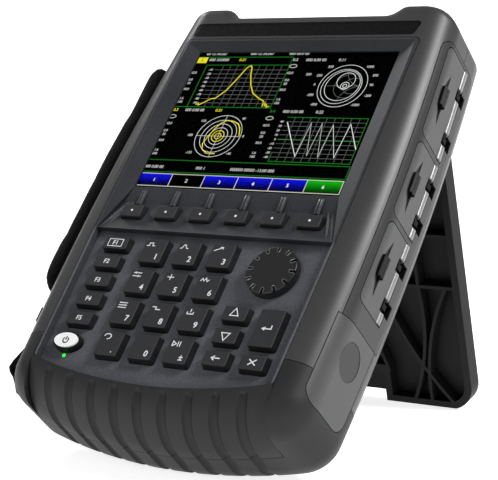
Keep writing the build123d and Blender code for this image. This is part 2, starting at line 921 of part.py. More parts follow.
def make_battery_button():
    """Round push button of the battery door, with a flange behind the door."""
    inner = battery_door_inner()
    face = Pos(-battery_button_gap) * case_form & button_line(battery_button_radius, inner, far)
    flange_face = inner - battery_button_gap
    flange = button_line(battery_button_radius + battery_button_flange, flange_face - battery_button_flange,
                         flange_face)
    neck = button_line(battery_button_radius, flange_face - battery_button_flange, inner + door_thickness / 2)
    return face + neck + flange


def battery_room():
    """Clear space for the battery door and its button, in to the chin's end or the pack."""
    return battery_door_prism(battery_door_gap, min(chin_half, pack_right()))


def pack_right():
    """Distance of the battery pack's outer end from the middle of the case."""
    return battery_door_inner() - 2 * battery_button_flange - battery_button_travel - battery_button_gap


def make_battery_pack():
    """Battery pack behind its door."""
    right = pack_right()
    pack = block((right - pack_length, right), (boot_line + inner_gap / 2, tray_bottom - inner_gap),
                 (-pack_front - pack_depth, -pack_front))
    return fillet(pack.edges().filter_by(Axis.X), battery_door_corner / 4)


def cavity():
    """Space inside the two shells."""
    plan = offset(case_plan(), -wall) & Pos(0, (top_panel_y + boot_line) / 2) * Rectangle(
        far, top_panel_y - boot_line)
    top = -panel_under - ledge_thickness
    window = block((-window_half, window_half), (window_low, display_top + lcd_border + inner_gap / 2),
                   (top, -panel_under))
    lower = block((-window_half, window_half), (window_low, boot_line + wall), (-case_back + 2 * wall, top))
    return slab(plan, -stand_floor() + back_wall, top) + lower + window


def stand_floor():
    """Depth of the floor of the kickstand recess."""
    return stand_inner_level - stand_room


def screw_line(spot, radius, low, high):
    """Round bar along a case screw."""
    return rod(radius, (spot[0], spot[1], low), (spot[0], spot[1], high))


def bosses(low, high):
    """Screw bosses between two levels."""
    return [screw_line(spot, boss_radius, low, high) for spot in screw_spots]


def screw_holes(radius, low, high):
    """Holes for the case screws between two levels."""
    return [screw_line(spot, radius, low, high) for spot in screw_spots]


def top_opening(grow):
    """Opening in the top end for the port panel."""
    half = top_panel_half + grow
    return block((-half, half), (top_panel_y - grow, far), (-top_panel_back - grow, -top_panel_front + grow))


def shell_cuts():
    """Everything that is taken out of both shells."""
    cuts = [boot_region(panel_seam), cavity(), side_prism(tray_plan(tray_seam), tray_inner() - tray_seam)]
    cuts += [battery_room(), top_opening(top_seam)]
    return cuts


def make_front_shell():
    """Front half of the case: shoulders, top rim and the frame round the panel."""
    shell = case_form - block((-far, far), (-far, far), (-far, -split_level))
    shell -= shell_cuts()
    shell += bosses(-split_level, -panel_under - ledge_thickness)
    shell -= slab(panel_plan(panel_seam, panel_seam), -panel_under, case_back)
    shell -= nameplate_pocket()
    hole_end = -case_back + screw_sink + screw_head_height + screw_length + inner_gap
    return shell - screw_holes(screw_radius + tight_gap, -case_back, hole_end)


def stand_plan(grow):
    """Outline of the folded kickstand, from its hinge to its feet."""
    half = stand_half_width + grow
    top = stand_hinge_y + grow
    low = stand_hinge_y - stand_length - grow
    plan = make_face(Polyline((-half, low), (half, low), (half, top), (-half, top), close=True))
    return fillet(plan.vertices().sort_by(Axis.Y)[:2], stand_corner + grow)


def hinge_rod(radius, half):
    """Round bar along the kickstand's hinge."""
    return rod(radius, (-half, stand_hinge_y, -stand_hinge_level), (half, stand_hinge_y, -stand_hinge_level))


def stand_recess():
    """Recess in the back that the kickstand folds into."""
    recess = slab(stand_plan(stand_room), -far, -stand_floor())
    swing = stand_outer_level - stand_hinge_level + stand_room
    half = stand_half_width + stand_room
    recess += hinge_rod(swing, half)
    upper = block((-half, half), (stand_hinge_y, stand_hinge_y + swing), (-far, -stand_hinge_level))
    return recess + upper


def stand_lugs(grow):
    """Lugs at the back that carry the kickstand's hinge pin."""
    radius = stand_hinge_level - stand_inner_level + grow
    half = stand_lug_length / 2 + grow
    lugs = []
    for side in (-1, 1):
        x = side * stand_lug_spot * stand_half_width
        lug = Pos(x) * hinge_rod(radius, half)
        lug += block((x - half, x + half), (stand_hinge_y - radius, stand_hinge_y + radius),
                     (-stand_hinge_level, -stand_floor() + back_wall / 2))
        lugs.append(lug)
    return lugs


def make_rear_shell():
    """Rear half of the case, with the recess for the kickstand."""
    shell = case_form - block((-far, far), (-far, far), (-split_level - split_seam, far))
    shell -= shell_cuts()
    shell += bosses(-case_back + back_wall, -split_level - split_seam)
    shell -= stand_recess()
    shell += stand_lugs(0)
    grip = stand_half_width + stand_room + stand_pin_grip
    shell -= hinge_rod(stand_pin_radius + tight_gap, grip)
    shell -= screw_holes(screw_radius + screw_clearance, -case_back, 0)
    head_floor = -case_back + screw_sink + screw_head_height
    return shell - screw_holes(screw_head_radius + screw_clearance, -far, head_floor)


def make_screws():
    """Four case screws with pan heads."""
    head = -case_back + screw_sink
    seat = head + screw_head_height
    screws = []
    for spot in screw_spots:
        shank = screw_line(spot, screw_radius, seat, seat + screw_length)
        screws.append(screw_line(spot, screw_head_radius, head, seat) + shank)
    return screws


def bowed_rib(start, end, way):
    """Curved rib line between two points, bowed to the right or the left."""
    middle = ((start[0] + end[0]) / 2 + way * stand_rib_bow, (start[1] + end[1]) / 2)
    return ThreePointArc(start, middle, end)


def stand_ribs():
    """Straight and curved stiffening ribs on the inner face of the kickstand."""
    low = stand_hinge_y - stand_length
    cross = [stand_hinge_y - distance for distance in stand_cross_ribs]
    half = stand_half_width
    lines = [Line((-half, y), (half, y)) for y in cross]
    for side in (-1, 1):
        near = side * stand_notch_half
        mid = side * (stand_notch_half + half) / 2
        outer = side * (half - 2 * stand_rim)
        for x in (near, mid):
            lines.append(Line((x, stand_hinge_y), (x, cross[1])))
        lines.append(bowed_rib((0, cross[1] - stand_grip_height), (near, low + stand_grip_height), side))
        lines.append(bowed_rib((near, cross[1]), (outer, low), -side))
        lines.append(bowed_rib((mid, cross[1]), ((near + mid) / 2, low), side))
        lines.append(bowed_rib((outer, cross[1]), (mid, low), -side))
    ribs = None
    for line in lines:
        strip = trace(line, stand_rib)
        ribs = strip if ribs is None else ribs + strip
    return ribs


def make_folded_stand():
    """Kickstand folded against the back: thin skin, rim, ribs and hinge barrel."""
    skin = -stand_outer_level + stand_skin
    plan = stand_plan(0)
    body = slab(plan, -stand_outer_level, -stand_inner_level)
    inner = offset(plan, -stand_rim)
    low = stand_hinge_y - stand_length
    notch = stand_notch_half - stand_rim
    grip = Pos(0, low) * Rectangle(2 * notch, 2 * stand_grip_height)
    frame = Pos(0, low) * Rectangle(2 * stand_notch_half, 2 * (stand_grip_height + stand_rim))
    hollow = (inner - frame - stand_ribs()) + grip
    body -= slab(hollow, skin, -stand_inner_level + cut_over)
    body -= slab(Pos(0, low) * Rectangle(2 * notch, 2 * stand_notch_rise), -far, far)
    body -= block((-far, far), (stand_hinge_y, far), (-far, far))
    barrel = stand_hinge_level - stand_inner_level
    body += hinge_rod(barrel, stand_half_width)
    body -= stand_lugs(stand_lug_gap)
    return body - hinge_rod(stand_pin_radius + stand_pin_clearance, stand_half_width + cut_over)


def open_stand(folded):
    """Swing the folded kickstand out to its open stop."""
    hinge = Pos(0, stand_hinge_y, -stand_hinge_level)
    return hinge * Rot(X=stand_opening) * hinge.inverse() * folded


def stand_foot():
    """Lowest edge of the open kickstand, as Y and Z."""
    turn = math.radians(stand_opening)
    along = -stand_length
    across = stand_hinge_level - stand_inner_level
    y = stand_hinge_y + along * math.cos(turn) - across * math.sin(turn)
    z = -stand_hinge_level + along * math.sin(turn) + across * math.cos(turn)
    return y, z


def lean_angle():
    """Turn about X that brings heel and kickstand foot onto one level floor."""
    foot_y, foot_z = stand_foot()
    reach_y = foot_y - heel_y
    reach_z = foot_z + heel_level
    bearing = math.atan2(reach_z, reach_y)
    tangent = math.acos(-back_radius / math.hypot(reach_y, reach_z))
    return 90 - math.degrees(tangent + bearing)


lean = lean_angle()
floor_height = (heel_y * math.sin(math.radians(lean)) - heel_level * math.cos(math.radians(lean))
                - back_radius + rest_flat)


def make_kickstand():
    """Open kickstand, flat where it meets the floor."""
    return open_stand(make_folded_stand()) - floor_cut()


def make_stand_pin():
    """Hinge pin of the kickstand."""
    return hinge_rod(stand_pin_radius, stand_half_width + stand_room + stand_pin_grip)


def make_top_panel():
    """Recessed metal panel that carries the test ports."""
    half = top_panel_half
    panel = block((-half, half), (top_panel_y, top_panel_y + top_panel_thickness),
                  (-top_panel_back, -top_panel_front))
    for side in (-1, 1):
        panel -= port_line(side, port_hex / 2 + port_clearance, 0, far)
    return panel


def port_line(side, radius, start, end):
    """Round bar along a test port."""
    x = side * port_spacing / 2
    return rod(radius, (x, start, -port_level), (x, end, -port_level))


def make_test_ports():
    """Two coaxial test ports: neck, hexagon and threaded barrel with a socket."""
    ports = []
    face = top_panel_y + top_panel_thickness
    for side in (-1, 1):
        port = port_line(side, port_hex / 2, top_panel_y - inner_gap, face)
        seat = Plane(origin=(side * port_spacing / 2, face, -port_level), z_dir=(0, 1, 0))
        port += extrude(seat * RegularPolygon(port_hex, port_hex_sides), port_hex_length)
        tip = face + port_hex_length + port_thread_length
        port += port_line(side, port_thread_radius, face + port_hex_length, tip)
        port -= port_line(side, port_bore, tip - port_bore_depth, tip + cut_over)
        ports.append(port)
    return ports


def make_rf_module():
    """Screened radio box behind the test ports."""
    top = top_panel_y - inner_gap
    return block((-rf_module_half, rf_module_half), (top - rf_module_height, top),
                 (-rf_module_front - rf_module_depth, -rf_module_front))


def make_main_board():
    """Main circuit board between the display and the radio box."""
    right = tray_inner() - inner_gap
    top = screw_spots[0][1] - 2 * boss_radius
    left = -side_edge(top) + wall + inner_gap
    return block((left, right), (tray_bottom, top), (-main_board_level - board_thickness, -main_board_level))


def strap_line(distance, y):
    """Point beside the left side of the case."""
    return (-side_edge(y) - distance, y)


def strap_profile(inner, outer, low, high):
    """Band that follows the left side of the case, seen from the front."""
    middle = (low + high) / 2
    edges = [
        ThreePointArc(strap_line(inner, low), strap_line(inner, middle), strap_line(inner, high)),
        Line(strap_line(inner, high), strap_line(outer, high)),
        ThreePointArc(strap_line(outer, high), strap_line(outer, middle), strap_line(outer, low)),
        Line(strap_line(outer, low), strap_line(inner, low)),
    ]
    return make_face(Curve() + edges)


def anchor_places():
    """Middle heights of the strap anchors, top and bottom."""
    return (strap_top + webbing_reach, strap_bottom - webbing_reach)


def make_hand_strap():
    """Padded hand strap with a flat web at each end that runs into its anchor."""
    middle = (strap_front + strap_back) / 2
    profile = strap_profile(strap_gap, strap_gap + strap_thickness, strap_bottom, strap_top)
    pad = slab(profile, -strap_back, -strap_front)
    corners = [edge for edge in pad.edges() if edge.length < strap_corner]
    pad = fillet(corners, strap_corner)
    rims = [edge for face in pad.faces().sort_by(SortBy.AREA)[-2:] for edge in face.edges()]
    pad = fillet(rims, strap_edge)
    for end, anchor in zip((strap_top, strap_bottom), anchor_places()):
        way = math.copysign(1, anchor - end)
        base = strap_gap + strap_thickness / 2
        inside = end - way * webbing_lap
        seat = anchor_height / 2
        half = webbing_thickness / 2
        outline = Polyline(strap_line(base + half, inside), strap_line(seat + half, anchor),
                           strap_line(seat - half, anchor), strap_line(base - half, inside), close=True)
        pad += slab(make_face(outline), -middle - webbing_width / 2, -middle + webbing_width / 2)
    return pad


def make_strap_anchors():
    """Two strap anchors on the left side, each with a slot for the web."""
    anchors = []
    middle = -(strap_front + strap_back) / 2
    slot_half = webbing_width / 2 + anchor_gap
    for y in anchor_places():
        base = strap_profile(-anchor_sink, anchor_height, y - anchor_length / 2, y + anchor_length / 2)
        reach = slot_half + anchor_cheek
        body = slab(base, middle - reach, middle + reach)
        slot = strap_profile(webbing_thickness / 2, anchor_height - webbing_thickness / 2,
                             y - anchor_length, y + anchor_length)
        anchors.append(body - slab(slot, middle - slot_half, middle + slot_half))
    return anchors


def anchor_sockets():
    """Shallow seats for the strap anchors in the left side."""
    middle = -(strap_front + strap_back) / 2
    reach = webbing_width / 2 + anchor_gap + anchor_cheek
    seats = []
    for y in anchor_places():
        half = anchor_length / 2
        seat = strap_profile(-anchor_sink, anchor_height, y - half, y + half)
        seats.append(slab(seat, middle - reach, middle + reach))
    return seats


def make_parts():
    """All pieces, lying on the back of the case."""
    grooves = groove_cutters()
    seats = anchor_sockets()
    parts = {
        "front_shell": make_front_shell() - seats,
        "rear_shell": make_rear_shell() - seats,
        "front_bumper": make_front_bumper(grooves),
        "rear_bumper": make_rear_bumper(grooves),
        "front_panel": make_front_panel(),
        "nameplate": make_nameplate(),
        "display_window": make_display_window(),
        "lcd_module": make_lcd_module(),
        "status_led": make_status_led(),
        "knob": make_knob(),
        "encoder": make_encoder(),
        "keypad_board": make_keypad_board(),
        "side_tray": make_side_tray(),
        "side_connectors": make_side_connectors(),
        "door_hinge_pins": make_hinge_pins(),
        "battery_door": make_battery_door(),
        "battery_button": make_battery_button(),
        "battery_pack": make_battery_pack(),
        "kickstand": make_kickstand(),
        "kickstand_pin": make_stand_pin(),
        "top_panel": make_top_panel(),
        "test_ports": make_test_ports(),
        "rf_module": make_rf_module(),
        "main_board": make_main_board(),
        "case_screws": make_screws(),
        "hand_strap": make_hand_strap(),
        "strap_anchors": make_strap_anchors(),
        "power_button": make_power_button(),
    }
    for name, span in door_spans.items():
        parts[name] = make_door(span)
    for name, x, y, width, height, top in key_layout():
        parts[name] = Pos(x, y) * make_key(width, height, top)
    return parts


def as_one(piece):
    """A piece as one shape, also where it is a group of solids."""
    solids = piece if isinstance(piece, list) else [piece]
    return Compound([solid for item in solids for solid in item.solids()])


def stand_up(parts):
    """Lean the pieces back, with the floor at zero under the middle of the whole."""
    leaned = {name: Rot(X=lean) * as_one(piece) for name, piece in parts.items()}
    box = Compound(list(leaned.values())).bounding_box()
    shift = Pos(-box.center().X, -box.center().Y, -floor_height)
    return {name: shift * piece for name, piece in leaned.items()}, shift


def main():
    """Write one file for each piece."""
    os.makedirs("parts", exist_ok=True)
    standing, _ = stand_up(make_parts())
    for name, piece in standing.items():
        export_step(piece, f"parts/{name}.step")


main()
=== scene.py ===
"""Finishes, prints, lit screen, strap and stage of a handheld network analyzer."""
import json
import math

import bmesh
import bpy
from bpy.props import FloatProperty, FloatVectorProperty, IntProperty, PointerProperty
from mathutils import Matrix, Vector


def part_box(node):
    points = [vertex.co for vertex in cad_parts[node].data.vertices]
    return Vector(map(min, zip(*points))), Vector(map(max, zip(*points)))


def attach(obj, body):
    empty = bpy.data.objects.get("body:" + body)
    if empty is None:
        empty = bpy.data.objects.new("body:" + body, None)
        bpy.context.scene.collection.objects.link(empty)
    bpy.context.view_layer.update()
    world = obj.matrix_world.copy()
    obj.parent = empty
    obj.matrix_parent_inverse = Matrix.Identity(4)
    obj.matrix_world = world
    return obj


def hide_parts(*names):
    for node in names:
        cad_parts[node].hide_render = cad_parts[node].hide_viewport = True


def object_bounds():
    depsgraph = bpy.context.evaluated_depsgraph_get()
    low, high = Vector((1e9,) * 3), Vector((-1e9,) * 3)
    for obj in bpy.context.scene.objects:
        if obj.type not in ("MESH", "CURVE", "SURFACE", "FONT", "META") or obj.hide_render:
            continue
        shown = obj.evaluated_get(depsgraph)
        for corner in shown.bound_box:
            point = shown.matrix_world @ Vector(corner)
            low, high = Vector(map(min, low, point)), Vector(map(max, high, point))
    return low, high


bl_info = {
    "name": "Handheld Network Analyzer",
    "version": (1, 0, 0),
    "blender": (4, 5, 0),
    "location": "View3D > Sidebar > Analyzer",
    "description": "Finishes, prints, lit screen, strap and stage of a handheld network analyzer",
    "category": "Object",
}

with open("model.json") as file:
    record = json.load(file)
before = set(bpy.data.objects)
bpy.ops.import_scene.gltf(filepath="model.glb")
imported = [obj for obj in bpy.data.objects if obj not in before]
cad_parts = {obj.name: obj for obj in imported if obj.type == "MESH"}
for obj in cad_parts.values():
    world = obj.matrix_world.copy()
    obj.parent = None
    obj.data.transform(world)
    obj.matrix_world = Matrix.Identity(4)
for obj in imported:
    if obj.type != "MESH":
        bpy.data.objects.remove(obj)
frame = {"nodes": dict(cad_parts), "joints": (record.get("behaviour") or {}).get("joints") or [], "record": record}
cad_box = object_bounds()

# Shapes are drawn in millimetres along the axes of a piece. Settings and finishes are in metres.
MM = 0.001
ROOT = "analyzer"
SLOTS = {part["node"]: part["material_slot"] for part in frame["record"]["subparts"]}
DOORS = ("door_upper", "door_middle", "door_lower")

# From the rim round the display down to the middle of its window.
WINDOW_DEPTH = 1.5
# Points this near the highest one belong to a node's top face.
TOP_BAND = 0.03


def joint_called(name):
    """Joint of the frame with this name."""
    return next(joint for joint in frame["joints"] if joint["name"] == name)


def axis_of(name):
    """Direction of a joint's axis."""
    return Vector(joint_called(name)["axis"]).normalized()


def axes_matrix(right, up, out, origin):
    """Matrix from millimetres along three axes to metres in the frame."""
    turn = Matrix((right, up, out)).transposed().to_4x4()
    return Matrix.Translation(origin) @ turn @ Matrix.Scale(MM, 4)


def screen_axes():
    """Axes of the display: right, up and out of it, from the middle at the rim's level."""
    out = axis_of("knob_turn")
    right = Vector((1, 0, 0))
    low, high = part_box("display_window")
    return axes_matrix(right, out.cross(right), out, (low + high) / 2 + out * WINDOW_DEPTH * MM)


SCREEN = screen_axes()


def door_axes(door):
    """Axes of a door: out of the side, along the hinge and forward, from its hinge."""
    along = axis_of(door + "_hinge")
    forward = axis_of("knob_turn")
    out = along.cross(forward).normalized()
    return axes_matrix(out, along, forward, Vector(joint_called(door + "_hinge")["pos_m"]))


def nodes_called(*starts):
    """Names of the nodes that start with one of some words."""
    return [name for name in frame["nodes"] if name.startswith(starts)]


def spots_of(node, axes):
    """Vertices of a node in millimetres along some axes."""
    back = axes.inverted()
    return [back @ vertex.co for vertex in frame["nodes"][node].data.vertices]


def top_of(node):
    """Left, right, low and high edges of a node's top face, and its level, along the screen."""
    spots = spots_of(node, SCREEN)
    level = max(spot.z for spot in spots)
    top = [spot for spot in spots if spot.z > level - TOP_BAND]
    across = [spot.x for spot in top]
    along = [spot.y for spot in top]
    return min(across), max(across), min(along), max(along), level


def midway(values):
    """Middle of the range of some values."""
    return (min(values) + max(values)) / 2


def middle_of(left, right, low, high):
    """Middle of a box."""
    return (left + right) / 2, (low + high) / 2


def left_of(way):
    """Direction to the left of a flat direction."""
    return Vector((-way.y, way.x))


def oval_points(centre, across, along, count, start=0.0, sweep=360.0):
    """Points along an oval, or along part of one, anticlockwise."""
    steps = count if sweep == 360.0 else count - 1
    angles = [math.radians(start + sweep * index / steps) for index in range(count)]
    return [(centre[0] + across * math.cos(angle), centre[1] + along * math.sin(angle))
            for angle in angles]


def ring_points(centre, radius, count, start=0.0, sweep=360.0):
    """Points along a circle, or along part of one, anticlockwise."""
    return oval_points(centre, radius, radius, count, start, sweep)


def point_round(centre, radius, angle):
    """Point of a circle at an angle in degrees."""
    return ring_points(centre, radius, 1, angle)[0]


def box_points(left, right, low, high, radius=0.0, steps=5):
    """Outline of a box, with rounded corners where a radius is given."""
    if not radius:
        return [(left, low), (right, low), (right, high), (left, high)]
    corners = ((right - radius, high - radius, 0), (left + radius, high - radius, 90),
               (left + radius, low + radius, 180), (right - radius, low + radius, 270))
    outline = []
    for x, y, start in corners:
        outline += ring_points((x, y), radius, steps, start, 90.0)
    return outline


def fitted(path, corner, width, height):
    """Path of a unit box, brought to a corner and a size."""
    return [(corner[0] + x * width, corner[1] + y * height) for x, y in path]


def add_prism(mesh, outline, low, high, finish=0):
    """Closed prism over a flat outline that runs anticlockwise."""
    top = [mesh.verts.new((x, y, high)) for x, y in outline]
    base = [mesh.verts.new((x, y, low)) for x, y in outline]
    faces = [mesh.faces.new(top), mesh.faces.new(base[::-1])]
    for index in range(len(outline)):
        after = (index + 1) % len(outline)
        faces.append(mesh.faces.new((base[index], base[after], top[after], top[index])))
    for face in faces:
        face.material_index = finish


def add_tube(mesh, rings, closed_path=False):
    """Closed skin over a row of rings with equal numbers of points."""
    loops = [[mesh.verts.new(point) for point in ring] for ring in rings]
    count = len(loops[0])
    faces = []
    last = len(loops) if closed_path else len(loops) - 1
    for index in range(last):
        here = loops[index]
        there = loops[(index + 1) % len(loops)]
        for step in range(count):
            after = (step + 1) % count
            faces.append(mesh.faces.new((here[step], here[after], there[after], there[step])))
    if not closed_path:
        faces.append(mesh.faces.new(loops[0][::-1]))
        faces.append(mesh.faces.new(loops[-1]))
    return faces


# A ribbon that turns back on itself is cut straight, and the mitre of its corners is limited.
SHARP_TURN = 0.2
MITRE_LIMIT = 0.45
BEAD_POINTS = 8


def add_ribbon(mesh, points, width, low, high, finish=0, closed=False):
    """Flat line of even width along a path."""
    spots = [Vector(point) for point in points]
    count = len(spots)
    rings = []
    for index, spot in enumerate(spots):
        ways = []
        if closed or index:
            ways.append((spot - spots[index - 1]).normalized())
        if closed or index < count - 1:
            ways.append((spots[(index + 1) % count] - spot).normalized())
        way = sum(ways, Vector((0, 0)))
        if way.length < SHARP_TURN:
            way = ways[0]
        side = left_of(way.normalized())
        lean = abs(side.dot(left_of(ways[0])))
        side *= width / 2 / max(lean, MITRE_LIMIT)
        left = spot + side
        right = spot - side
        rings.append([(*left, low), (*right, low), (*right, high), (*left, high)])
    for face in add_tube(mesh, rings, closed):
        face.material_index = finish


def add_bead(mesh, points, radius, level):
    """Round bead along a flat path at a level."""
    spots = [Vector(point) for point in points]
    last = len(spots) - 1
    ring = ring_points((0, level), radius, BEAD_POINTS)
    rings = []
    for index, spot in enumerate(spots):
        side = left_of(spots[min(index + 1, last)] - spots[max(index - 1, 0)]).normalized()
        rings.append([(*(spot + side * across), up) for across, up in ring])
    add_tube(mesh, rings)


def add_rod(mesh, x, z, sections, count):
    """Round rod along the second axis, with a radius at each place along it."""
    add_tube(mesh, [[(across, y, up) for across, up in ring_points((x, z), radius, count)]
                    for y, radius in sections])


# Height of a digit as a share of the letters' size, and how far its strokes are thickened.
DIGIT_SHARE = 0.69
STROKE_SHARE = 0.02
STROKE_STEPS = 3


def add_words(mesh, words, height, spot, low, high, finish=0, side="CENTER"):
    """Plain letters or numbers as a thin print; height is that of a digit."""
    curve = bpy.data.curves.new("print", "FONT")
    curve.body = words
    curve.size = height / DIGIT_SHARE
    curve.extrude = (high - low) / 2
    curve.offset = height * STROKE_SHARE
    curve.resolution_u = STROKE_STEPS
    curve.align_x = side
    carrier = bpy.data.objects.new("print", curve)
    flat = bpy.data.meshes.new_from_object(carrier)
    flat.transform(Matrix.Translation((spot[0], spot[1] - height / 2, (low + high) / 2)))
    start = len(mesh.faces)
    mesh.from_mesh(flat)
    mesh.faces.ensure_lookup_table()
    for face in mesh.faces[start:]:
        face.material_index = finish
    bpy.data.objects.remove(carrier)
    bpy.data.curves.remove(curve)
    bpy.data.meshes.remove(flat)


def make_piece(name, mesh, axes, body, finishes, crease=40.0):
    """Turn built geometry into a piece that rides on a body."""
    bmesh.ops.recalc_face_normals(mesh, faces=mesh.faces)
    data = bpy.data.meshes.new(name)
    mesh.to_mesh(data)
    mesh.free()
    data.transform(axes)
    for finish in finishes:
        data.materials.append(finish)
    data.shade_smooth()
    data.set_sharp_from_angle(angle=math.radians(crease))
    piece = bpy.data.objects.new(name, data)
    bpy.context.scene.collection.objects.link(piece)
    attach(piece, body)


def new_finish(name):
    """Fresh node material with its tree and shader."""
    finish = bpy.data.materials.new(name)
    finish.use_nodes = True
    tree = finish.node_tree
    shader = next(item for item in tree.nodes if item.type == "BSDF_PRINCIPLED")
    return finish, tree, shader


def put(tree, socket, value):
    """Set a socket, or link it where the value is another node's output."""
    if isinstance(value, bpy.types.NodeSocket):
        tree.links.new(value, socket)
    else:
        socket.default_value = value


def coat(tree, shader, values):
    """Set or link several inputs of a shader."""
    for label, value in values.items():
        put(tree, shader.inputs[label], value)


def add_node(tree, kind, **inputs):
    """New node with some of its inputs given."""
    made = tree.nodes.new(kind)
    for label, value in inputs.items():
        put(tree, made.inputs[label.replace("_", " ").title()], value)
    return made


def place_in(tree):
    """Place of a point on its own piece, in metres."""
    return tree.nodes.new("ShaderNodeTexCoord").outputs["Object"]


def speckle(tree, size, detail, place=None):
    """Noise from 0 to 1 with grains of a size in metres."""
    made = add_node(tree, "ShaderNodeTexNoise", vector=place or place_in(tree), scale=1 / size,
                    detail=detail)
    return made.outputs[0]


def spread(tree, value, low, high, start=0.3, end=0.7):
    """Value brought from the range of start to end into that of low to high."""
    made = add_node(tree, "ShaderNodeMapRange", value=value, from_min=start, from_max=end,
                    to_min=low, to_max=high)
    return made.outputs[0]


def combined(tree, first, second, kind="ADD"):
    """Sum, or another combination, of two values."""
    made = tree.nodes.new("ShaderNodeMath")
    made.operation = kind
    put(tree, made.inputs[0], first)
    put(tree, made.inputs[1], second)
    return made.outputs[0]


def weighed(tree, first, first_weight, second, second_weight):
    """Sum of two values with a weight each."""
    return combined(tree, combined(tree, first, first_weight, "MULTIPLY"),
                    combined(tree, second, second_weight, "MULTIPLY"))


# Sockets of the mix node that carry colours.
MIX_FACTOR, MIX_LOW, MIX_HIGH, MIX_RESULT = 0, 6, 7, 2


def between(tree, factor, low, high):
    """Colour from one to another as a factor goes from 0 to 1."""
    made = tree.nodes.new("ShaderNodeMix")
    made.data_type = "RGBA"
    put(tree, made.inputs[MIX_FACTOR], factor)
    put(tree, made.inputs[MIX_LOW], low)
    put(tree, made.inputs[MIX_HIGH], high)
    return made.outputs[MIX_RESULT]


def scaled(colour, share):
    """Colour made darker or lighter, with its alpha."""
    return (*[channel * share for channel in colour[:3]], 1.0)


def toned(tree, factor, colour, dark, light):
    """Colour from a darker to a lighter share of itself as a factor goes from 0 to 1."""
    return between(tree, factor, scaled(colour, dark), scaled(colour, light))


def relief(tree, shader, height, depth, strength=0.6):
    """Small bumps of a depth in metres."""
    bump = add_node(tree, "ShaderNodeBump", strength=strength, distance=depth, height=height)
    tree.links.new(bump.outputs[0], shader.inputs["Normal"])


def screen_way(index):
    """Direction of one of the screen's axes."""
    return SCREEN.to_3x3().col[index].normalized()


def length_along(tree, vector, way):
    """Length of a vector along a direction."""
    made = tree.nodes.new("ShaderNodeVectorMath")
    made.operation = "DOT_PRODUCT"
    put(tree, made.inputs[0], vector)
    put(tree, made.inputs[1], way)
    return made.outputs["Value"]


def up_screen(tree, low, high):
    """How far a point lies between two heights on the screen, from 0 to 1."""
    up = screen_way(1)
    start = SCREEN.translation.dot(up)
    return spread(tree, length_along(tree, place_in(tree), up), 0.0, 1.0,
                  start + low * MM, start + high * MM)


def facing_out(tree):
    """How far a face looks out of the screen, up to one."""
    normal = tree.nodes.new("ShaderNodeTexCoord").outputs["Normal"]
    return length_along(tree, normal, screen_way(2))


# Heights between which the panel turns into the keypad deck, and the shares of its tone; the shares on slopes and
# on the sides of keys are painted shade.
DECK_EDGE = (-84.0, -79.0)
DECK_TONE = 2.7
SLOPE_SHADE = 0.42
KEY_SIDE_SHADE = 0.2


def paler_deck(tree):
    """Share of the panel's tone: one round the screen, more on the keypad deck, and less on slopes as painted
    shade.
    """
    deck = spread(tree, up_screen(tree, *DECK_EDGE), DECK_TONE, 1.0, start=0.0, end=1.0)
    # Painted shade on slopes, by how far a face looks out of the screen.
    slope = spread(tree, facing_out(tree), SLOPE_SHADE, 1.0, start=0.82, end=0.97)
    return combined(tree, deck, slope, "MULTIPLY")


def darker_sides(tree):
    """Share of a key's tone: one on its top, and little on its sides as painted shade."""
    return spread(tree, facing_out(tree), KEY_SIDE_SHADE, 1.0, start=0.55, end=0.95)


# Painted shade in grooves: how far it looks for nearby surfaces, in metres, and its samples.
GROOVE_SHADE_REACH = 0.0025
GROOVE_SHADE_SAMPLES = 6
MOTTLE_SIZE = 0.035
GRAIN_WEIGHT, MOTTLE_WEIGHT = 0.65, 0.35


def openness(tree):
    """Mask of painted shade: how open the surroundings of a point are, from 0 in a groove to 1."""
    made = add_node(tree, "ShaderNodeAmbientOcclusion", distance=GROOVE_SHADE_REACH)
    made.samples = GROOVE_SHADE_SAMPLES
    return spread(tree, made.outputs["AO"], 0.0, 1.0, start=0.25, end=0.85)


def moulded(name, colour, roughness, grain, depth, mottle=0.1, gloss=0.4, groove=0.3, shade=None):
    """Moulded plastic or rubber with fine grain, mottling and painted shade that darkens its grooves."""
    finish, tree, shader = new_finish(name)
    fine = speckle(tree, grain, detail=3.0)
    broad = speckle(tree, MOTTLE_SIZE, detail=4.0)
    both = weighed(tree, fine, GRAIN_WEIGHT, broad, MOTTLE_WEIGHT)
    mixed = spread(tree, both, 0.0, 1.0, start=0.35, end=0.65)
    tone = toned(tree, mixed, colour, 1 - mottle, 1 + mottle)
    # Painted shade: the tone falls to a share of the colour in grooves.
    tone = between(tree, openness(tree), scaled(colour, groove), tone)
    # The tone scaled by a given share: the keypad deck's paler tone, and painted shade on slopes and on the sides
    # of keys.
    if shade:
        shaded = tree.nodes.new("ShaderNodeVectorMath")
        shaded.operation = "SCALE"
        put(tree, shaded.inputs[0], tone)
        put(tree, shaded.inputs["Scale"], shade(tree))
        tone = shaded.outputs[0]
    coat(tree, shader, {
        "Base Color": tone,
        "Roughness": spread(tree, fine, roughness - 0.06, roughness + 0.06),
        "Specular IOR Level": gloss,
    })
    relief(tree, shader, fine, depth)
    return finish


SCRATCH_SIZE = 1 / 900


def metal(name, colour, roughness, stretch=(1.0, 1.0, 14.0)):
    """Turned or brushed metal with fine scratches."""
    finish, tree, shader = new_finish(name)
    mapping = add_node(tree, "ShaderNodeMapping", vector=place_in(tree), scale=stretch)
    lines = speckle(tree, SCRATCH_SIZE, detail=3.0, place=mapping.outputs[0])
    coat(tree, shader, {
        "Base Color": toned(tree, lines, colour, dark=0.82, light=1.12),
        "Roughness": spread(tree, lines, roughness - 0.08, roughness + 0.1),
        "Metallic": 1.0,
    })
    relief(tree, shader, lines, depth=0.00002, strength=0.3)
    return finish


